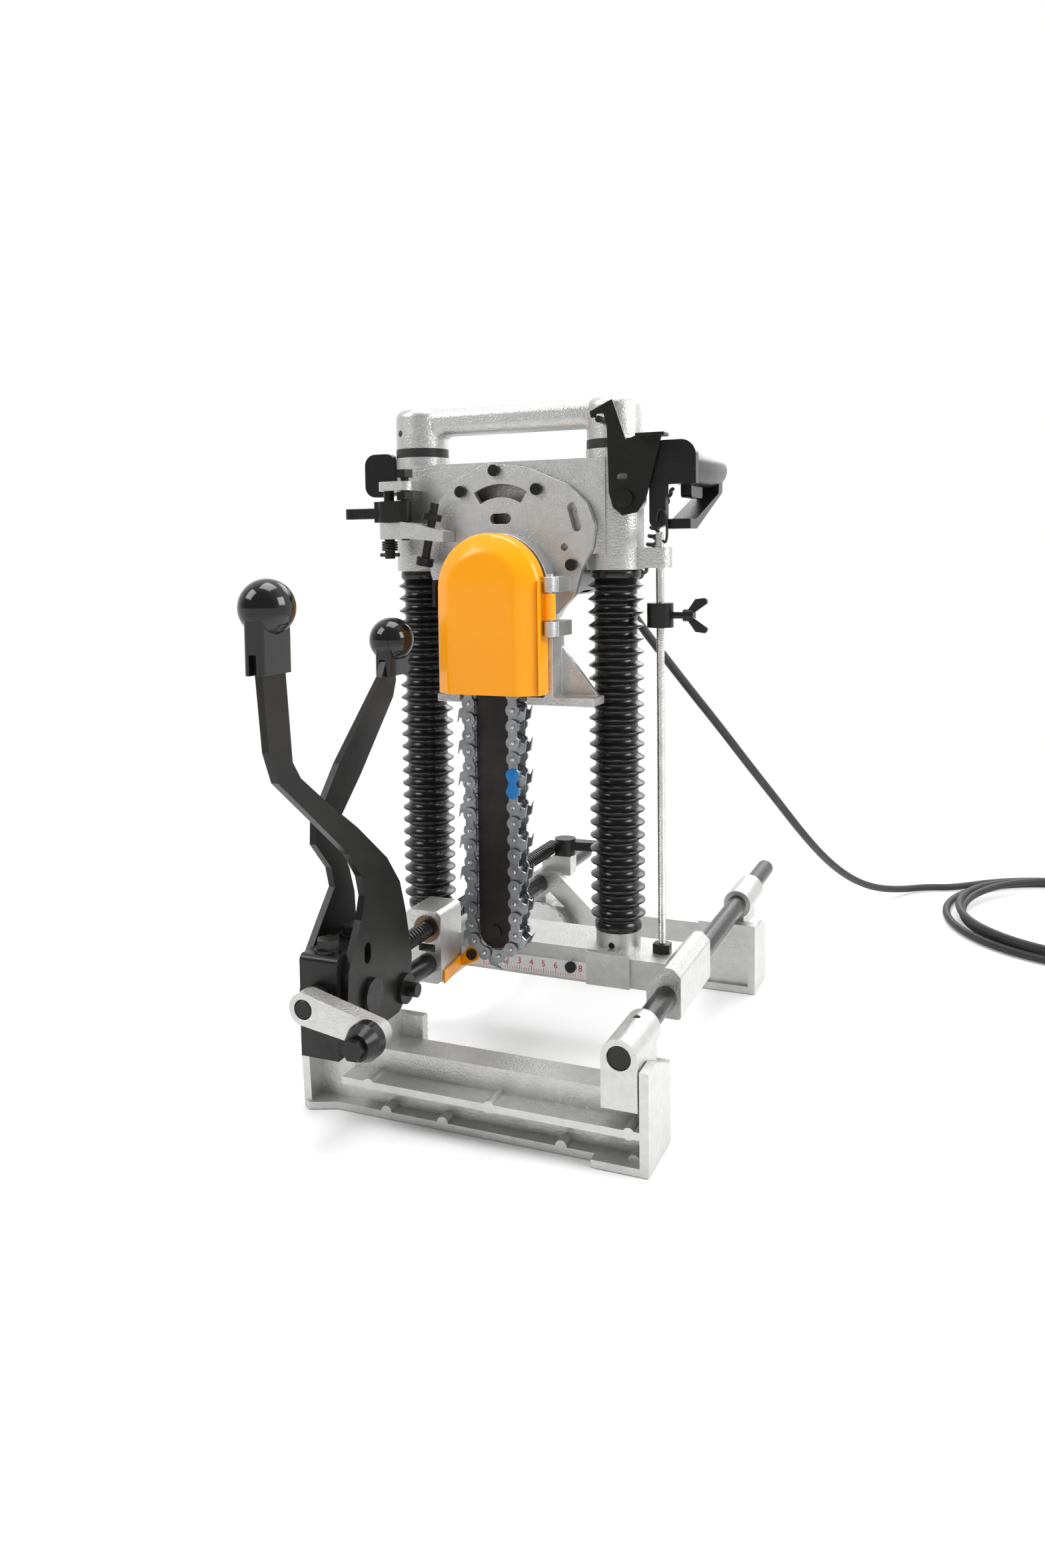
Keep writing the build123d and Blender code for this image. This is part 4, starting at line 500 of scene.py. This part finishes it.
# ------------------------------------------------------------------ chain rivets
# Every link turns on a hardened rivet whose peened heads shine on both sides of the chain.
rivet_shine = procedural("rivet_shine", (0.62, 0.63, 0.64), 0.22, 1.0)[0]
grain(rivet_shine, 900, 0.00002, colours=((0.55, 0.56, 0.57), (0.68, 0.69, 0.7)), colour_scale=300)
chain_low, chain_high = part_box("chain")
link_count, link_pitch, spindle_height, nose_height = 52, 0.012, 0.358, 0.102
run_length = spindle_height - nose_height
chain_radius = (link_pitch * link_count - 2 * run_length) / (2 * pi)
chain_middle = (chain_low.y + chain_high.y) / 2
rivet_reach, rivet_radius = (chain_high.y - chain_low.y) / 2, 0.0018
rivets = []
for station in range(link_count):
    distance = station * link_pitch
    if distance < run_length:
        rivet_x, rivet_z = -chain_radius, spindle_height - distance
    elif distance < run_length + pi * chain_radius:
        turn = (distance - run_length) / chain_radius
        rivet_x, rivet_z = -chain_radius * cos(turn), nose_height - chain_radius * sin(turn)
    elif distance < 2 * run_length + pi * chain_radius:
        rivet_x, rivet_z = chain_radius, nose_height + distance - run_length - pi * chain_radius
    else:
        turn = (distance - 2 * run_length - pi * chain_radius) / chain_radius
        rivet_x, rivet_z = chain_radius * cos(turn), spindle_height + chain_radius * sin(turn)
    bpy.ops.mesh.primitive_cylinder_add(vertices=14, radius=rivet_radius, depth=2 * rivet_reach + 0.0001,
                                        location=(rivet_x, chain_middle, rivet_z), rotation=(pi / 2, 0, 0))
    rivets.append(bpy.context.active_object)
pick(*rivets)
bpy.ops.object.join()
bpy.ops.object.transform_apply(location=True, rotation=True, scale=True)
rivet_set = bpy.context.active_object
rivet_set.name = "chain_rivets"
peened = rivet_set.modifiers.new("peened", "BEVEL")
peened.width, peened.segments, peened.limit_method, peened.angle_limit = 0.0004, 2, "ANGLE", radians(50)
bpy.ops.object.modifier_apply(modifier="peened")
bpy.ops.object.shade_smooth_by_angle(angle=radians(35))
rivet_set.data.materials.append(rivet_shine)
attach(rivet_set, "head")

# ------------------------------------------------------------------ marked link
# One side plate of the chain is blued, so that a full turn of the chain can be counted by eye.
blued = procedural("blued_plate", (0.004, 0.18, 0.5), 0.3)[0]
grain(blued, 400, 0.00004, colours=((0.003, 0.16, 0.46), (0.005, 0.2, 0.55)), colour_scale=80)
link_eye, link_x, link_front = 0.0052, chain_radius, chain_low.y + 0.0005
marked_height, plate_thickness, waist = 0.2095, 0.0012, 0.42
link_low = nose_height + link_pitch * round((marked_height - nose_height) / link_pitch)
bpy.ops.object.select_all(action="DESELECT")
bpy.ops.mesh.primitive_circle_add(vertices=40, radius=link_eye, fill_type="NGON", rotation=(pi / 2, 0, 0),
                                  location=(link_x, link_front, link_low))
bpy.ops.object.transform_apply(location=True, rotation=True)
link = bpy.context.active_object
link.name = "blue_link"
bpy.ops.object.mode_set(mode="EDIT")
bpy.ops.mesh.select_mode(type="VERT")
bpy.ops.mesh.select_all(action="DESELECT")
bpy.ops.object.mode_set(mode="OBJECT")
for rim_point in link.data.vertices:
    rim_point.select = rim_point.co.z > link_low + 0.00001
bpy.ops.object.mode_set(mode="EDIT")
bpy.ops.transform.translate(value=(0, 0, link_pitch))
for cut in range(1, 8):
    bpy.ops.mesh.select_all(action="SELECT")
    bpy.ops.mesh.bisect(plane_co=(0, 0, link_low + link_pitch * cut / 8), plane_no=(0, 0, 1))
bpy.ops.object.mode_set(mode="OBJECT")
for rim_point in link.data.vertices:
    along = (rim_point.co.z - link_low) / link_pitch
    if 0.01 < along < 0.99:
        rim_point.co.x = link_x + (rim_point.co.x - link_x) * (1 - waist * sin(pi * along) ** 2)
bpy.ops.object.mode_set(mode="EDIT")
bpy.ops.mesh.select_all(action="SELECT")
bpy.ops.mesh.extrude_region_move(TRANSFORM_OT_translate={"value": (0, -plate_thickness, 0)})
bpy.ops.mesh.select_all(action="SELECT")
bpy.ops.mesh.normals_make_consistent(inside=False)
bpy.ops.object.mode_set(mode="OBJECT")
edge_break = link.modifiers.new("edge_break", "BEVEL")
edge_break.width, edge_break.segments = 0.0003, 2
edge_break.limit_method, edge_break.angle_limit = "ANGLE", radians(50)
bpy.ops.object.modifier_apply(modifier="edge_break")
bpy.ops.object.shade_smooth_by_angle(angle=radians(35))
link.data.materials.append(blued)
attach(link, "head")

# ------------------------------------------------------------------ depth scale
# Thin printed plate on the carriage's front beam: a mark every 2 mm, a longer one at each centimetre
# with its number, in red on white.
print_red = procedural("print_red", (0.55, 0.02, 0.015), 0.5)[0]
grain(print_red, 600, 0.00001, colours=((0.5, 0.018, 0.012), (0.6, 0.025, 0.02)), colour_scale=200)
plate_white = procedural("plate_white", (0.85, 0.85, 0.83), 0.45)[0]
grain(plate_white, 500, 0.00001, colours=((0.82, 0.82, 0.8), (0.88, 0.88, 0.86)), colour_scale=90)
low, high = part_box("scale_plate")
scale_zero, mark_spacing, ink_y = -0.0216, 0.002, low.y - 0.00004
long_mark, short_mark = 0.0042, 0.0022
screw_left, screw_right = 0.046, 0.056
marks = []
for mark in range(45):
    mark_x = scale_zero + mark_spacing * mark
    if not low.x + 0.001 < mark_x < high.x - 0.001:
        continue
    mark_height = long_mark if mark % 5 == 0 else short_mark
    bpy.ops.mesh.primitive_cube_add(size=1, location=(mark_x, ink_y, low.z + 0.0006 + mark_height / 2),
                                    scale=(0.00035, 0.00012, mark_height))
    marks.append(bpy.context.active_object)
    if mark % 5 == 0 and 0 < mark and not screw_left < mark_x < screw_right:
        bpy.ops.object.text_add(location=(mark_x, ink_y, low.z + 0.0056), rotation=(pi / 2, 0, 0))
        figure = bpy.context.active_object
        figure.data.body = str(mark // 5)
        figure.data.size = 0.0068
        figure.data.extrude = 0.00006
        figure.data.align_x = "CENTER"
        marks.append(as_mesh(figure))
pick(*marks)
bpy.ops.object.join()
scale_print = bpy.context.active_object
scale_print.name = "scale_marks"
bpy.ops.object.transform_apply(location=True, rotation=True, scale=True)
scale_print.data.materials.clear()
scale_print.data.materials.append(print_red)
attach(scale_print, "carriage")
dress(plate_white, "scale_plate")

# ------------------------------------------------------------------ switch lead and wire hook
# The thin lead from the switch in the right grip to the motor is a curly one, so that it takes up the
# play of the grip. Below the grip's tab hangs a bent wire hook that parks the depth rod's end.
def wire(name, points, thickness, body, material, kind="NURBS"):
    """A round wire or lead along points, made a mesh that rides on a body."""
    line = bpy.data.curves.new(name, "CURVE")
    line.dimensions = "3D"
    line.bevel_depth = thickness / 2
    line.bevel_resolution = 3
    line.resolution_u = 4
    line.use_fill_caps = True
    strand = line.splines.new(kind)
    strand.points.add(len(points) - 1)
    for point, place in zip(strand.points, points):
        point.co = (*place, 1)
    strand.order_u = 3
    strand.use_endpoint_u = True
    line.materials.append(material)
    lead = bpy.data.objects.new(name, line)
    bpy.context.scene.collection.objects.link(lead)
    lead = as_mesh(lead)
    bpy.ops.object.shade_smooth()
    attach(lead, body)
    return lead


lead_route = [(0.120, 0.152, 0.432), (0.112, 0.158, 0.424), (0.101, 0.168, 0.404), (0.094, 0.178, 0.382),
              (0.082, 0.188, 0.366), (0.064, 0.196, 0.362), (0.046, 0.200, 0.372)]
curl_line = [Vector(p) for p in traced(lead_route)]
curl_turns, curl_radius, steps_per_turn = 17, 0.0033, 14
curl_points = []
total_steps = curl_turns * steps_per_turn
for step in range(total_steps + 1):
    share = step / total_steps * (len(curl_line) - 1.001)
    first = int(share)
    ahead_of = curl_line[first + 1] - curl_line[first]
    middle = curl_line[first] + ahead_of * (share - first)
    across = ahead_of.cross(Vector((1, 0.3, 0))).normalized()
    upright = ahead_of.normalized().cross(across)
    spread = curl_radius * min(1, 6 * step / total_steps, 6 * (1 - step / total_steps))
    angle = 2 * pi * step / steps_per_turn
    curl_points.append(middle + spread * (cos(angle) * across + sin(angle) * upright))
curly_lead = wire("curly_lead", curl_points, 0.0030, "head", sheath)
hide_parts("switch_cord")
hook_route = [(0.1215, 0.1025, 0.4065), (0.1222, 0.1010, 0.4125), (0.1250, 0.1000, 0.4155),
              (0.1282, 0.1005, 0.4130), (0.1290, 0.1020, 0.4060), (0.1286, 0.1050, 0.3960),
              (0.1262, 0.1080, 0.3900), (0.1240, 0.1090, 0.3930)]
wire("wire_hook", hook_route, 0.0019, "head", black_oxide)

# ------------------------------------------------------------------ bellows
# Black rubber sleeves moulded in one piece, with a rolled lip on every fold and a plain cuff at each
# end that is clipped to the carriage below and to the head above.
rubber = procedural("bellows_rubber", (0.007, 0.007, 0.007), 0.24)[0]
grain(rubber, 60, 0.00002, 1.0, (0.2, 0.27), ((0.006, 0.006, 0.006), (0.009, 0.009, 0.009)), 25)


def turned(name, profile, sides=48):
    """A closed round piece on the Z axis, drawn up ring by ring through (radius, height) pairs."""
    bpy.ops.object.select_all(action="DESELECT")
    radius, height = profile[0]
    bpy.ops.mesh.primitive_circle_add(vertices=sides, radius=radius, location=(0, 0, height),
                                      fill_type="NGON")
    bpy.ops.object.transform_apply(location=True)
    piece = bpy.context.active_object
    piece.name = name
    bpy.ops.object.mode_set(mode="EDIT")
    bpy.ops.mesh.select_all(action="SELECT")
    bpy.ops.mesh.duplicate()
    for new_radius, new_height in profile[1:]:
        bpy.ops.mesh.extrude_region_move(TRANSFORM_OT_translate={"value": (0, 0, new_height - height)})
        factor = new_radius / radius
        bpy.ops.transform.resize(value=(factor, factor, 1), center_override=(0, 0, new_height))
        radius, height = new_radius, new_height
    bpy.ops.mesh.select_all(action="SELECT")
    bpy.ops.mesh.remove_doubles(threshold=0.000001)
    bpy.ops.mesh.normals_make_consistent(inside=False)
    bpy.ops.object.mode_set(mode="OBJECT")
    return piece


def settle(piece, place, turn=(0, 0, 0)):
    """Puts a finished piece in its place and applies it, so that its object sits at the origin."""
    pick(piece)
    piece.rotation_euler = turn
    piece.location = place
    bpy.ops.object.transform_apply(location=True, rotation=True, scale=True)
    return piece


for side in ("left", "right"):
    low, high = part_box(f"bellows_{side}")
    foot, height = low.z, high.z - low.z
    axis_x, axis_y = (low.x + high.x) / 2, (low.y + high.y) / 2
    crest, valley, cuff = (high.x - low.x) / 2 - 0.0002, 0.0160, 0.007
    folds = 26
    pitch = (height - 2 * cuff) / folds
    profile = [(0.0174, 0.0001), (0.0178, 0.001), (0.0178, cuff - 0.002), (0.0172, cuff - 0.001)]
    for fold in range(folds):
        base = cuff + fold * pitch
        profile += [(valley, base + 0.06 * pitch), (valley + 0.0003, base + 0.2 * pitch),
                    (crest - 0.0012, base + 0.42 * pitch), (crest - 0.0002, base + 0.46 * pitch),
                    (crest, base + 0.52 * pitch), (crest - 0.0002, base + 0.58 * pitch),
                    (crest - 0.0012, base + 0.62 * pitch), (valley + 0.0003, base + 0.86 * pitch)]
    profile += [(0.0180, height - cuff + 0.001), (0.0188, height - cuff + 0.002), (0.0188, height - 0.001),
                (0.0182, height - 0.0001)]
    sleeve = settle(turned(f"bellows_sleeve_{side}", profile), (axis_x, axis_y, foot))
    bpy.ops.object.shade_smooth_by_angle(angle=radians(50))
    sleeve.data.materials.append(rubber)
    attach(sleeve, "carriage")
    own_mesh(sleeve)
    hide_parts(f"bellows_{side}")
low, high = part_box("return_springs")
springs = softened("return_springs", "carriage", zinc, 0, name="column_springs")
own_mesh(springs)

# ------------------------------------------------------------------ screw threads
# The lead screw has a coarse trapezoidal thread, blackened; the depth rod is zinc-plated studding, plain
# at its top end.
def threaded(name, radius, root, length, pitch, sides=24):
    """A bar with ridges a pitch apart, standing on the origin."""
    profile = [(root, 0)]
    for ridge in range(int(length / pitch)):
        base = ridge * pitch
        profile += [(root, base + 0.1 * pitch), (radius, base + 0.35 * pitch), (radius, base + 0.65 * pitch),
                    (root, base + 0.9 * pitch)]
    profile.append((root, length))
    return turned(name, profile, sides)


screw_x, screw_z, lying = -0.054, 0.100, (radians(-90), 0, 0)
thread_start, journal_start = -0.066, -0.0921
screw = settle(threaded("lead_screw_thread", 0.0066, 0.0052, 0.408, 0.004),
               (screw_x, thread_start, screw_z), lying)
screw.data.materials.append(black_oxide)
bpy.ops.object.shade_smooth_by_angle(angle=radians(30))
journal = [(0.0055, 0), (0.0065, 0.001), (0.0065, 0.0118), (0.0092, 0.012), (0.010, 0.013), (0.010, 0.0172),
           (0.0065, 0.0176), (0.0065, 0.03)]
collar = settle(turned("lead_screw_collar", journal, 40), (screw_x, journal_start, screw_z), lying)
collar.data.materials.append(black_oxide)
bpy.ops.object.shade_smooth_by_angle(angle=radians(30))
for piece in (screw, collar):
    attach(piece, "crank")
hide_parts("lead_screw")
low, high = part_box("depth_rod")
rod_x, rod_y, thread_foot, thread_top = 0.115, 0.133, 0.091, 0.336
nut_radius, nut_height, nut_z = 0.0075, 0.007, 0.0875
end_length = high.z - thread_top
studding = settle(threaded("depth_rod_thread", 0.0030, 0.0028, thread_top - thread_foot, 0.00125, 18),
                  (rod_x, rod_y, thread_foot))
end_profile = [(0.0026, 0), (0.003, 0.0006), (0.003, end_length - 0.0006), (0.0024, end_length)]
plain_end = settle(turned("depth_rod_end", end_profile, 24), (rod_x, rod_y, thread_top))
bpy.ops.object.select_all(action="DESELECT")
bpy.ops.mesh.primitive_cylinder_add(vertices=6, radius=nut_radius, depth=nut_height,
                                    location=(rod_x, rod_y, nut_z))
bpy.ops.object.transform_apply(location=True)
lock_nut = bpy.context.active_object
lock_nut.name = "depth_rod_nut"
rounding = lock_nut.modifiers.new("rounding", "BEVEL")
rounding.width, rounding.segments = 0.0005, 2
bpy.ops.object.modifier_apply(modifier="rounding")
for piece, finish in ((studding, zinc), (plain_end, zinc), (lock_nut, black_oxide)):
    pick(piece)
    bpy.ops.object.shade_smooth_by_angle(angle=radians(30))
    piece.data.materials.append(finish)
    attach(piece, "carriage")
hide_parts("depth_rod")
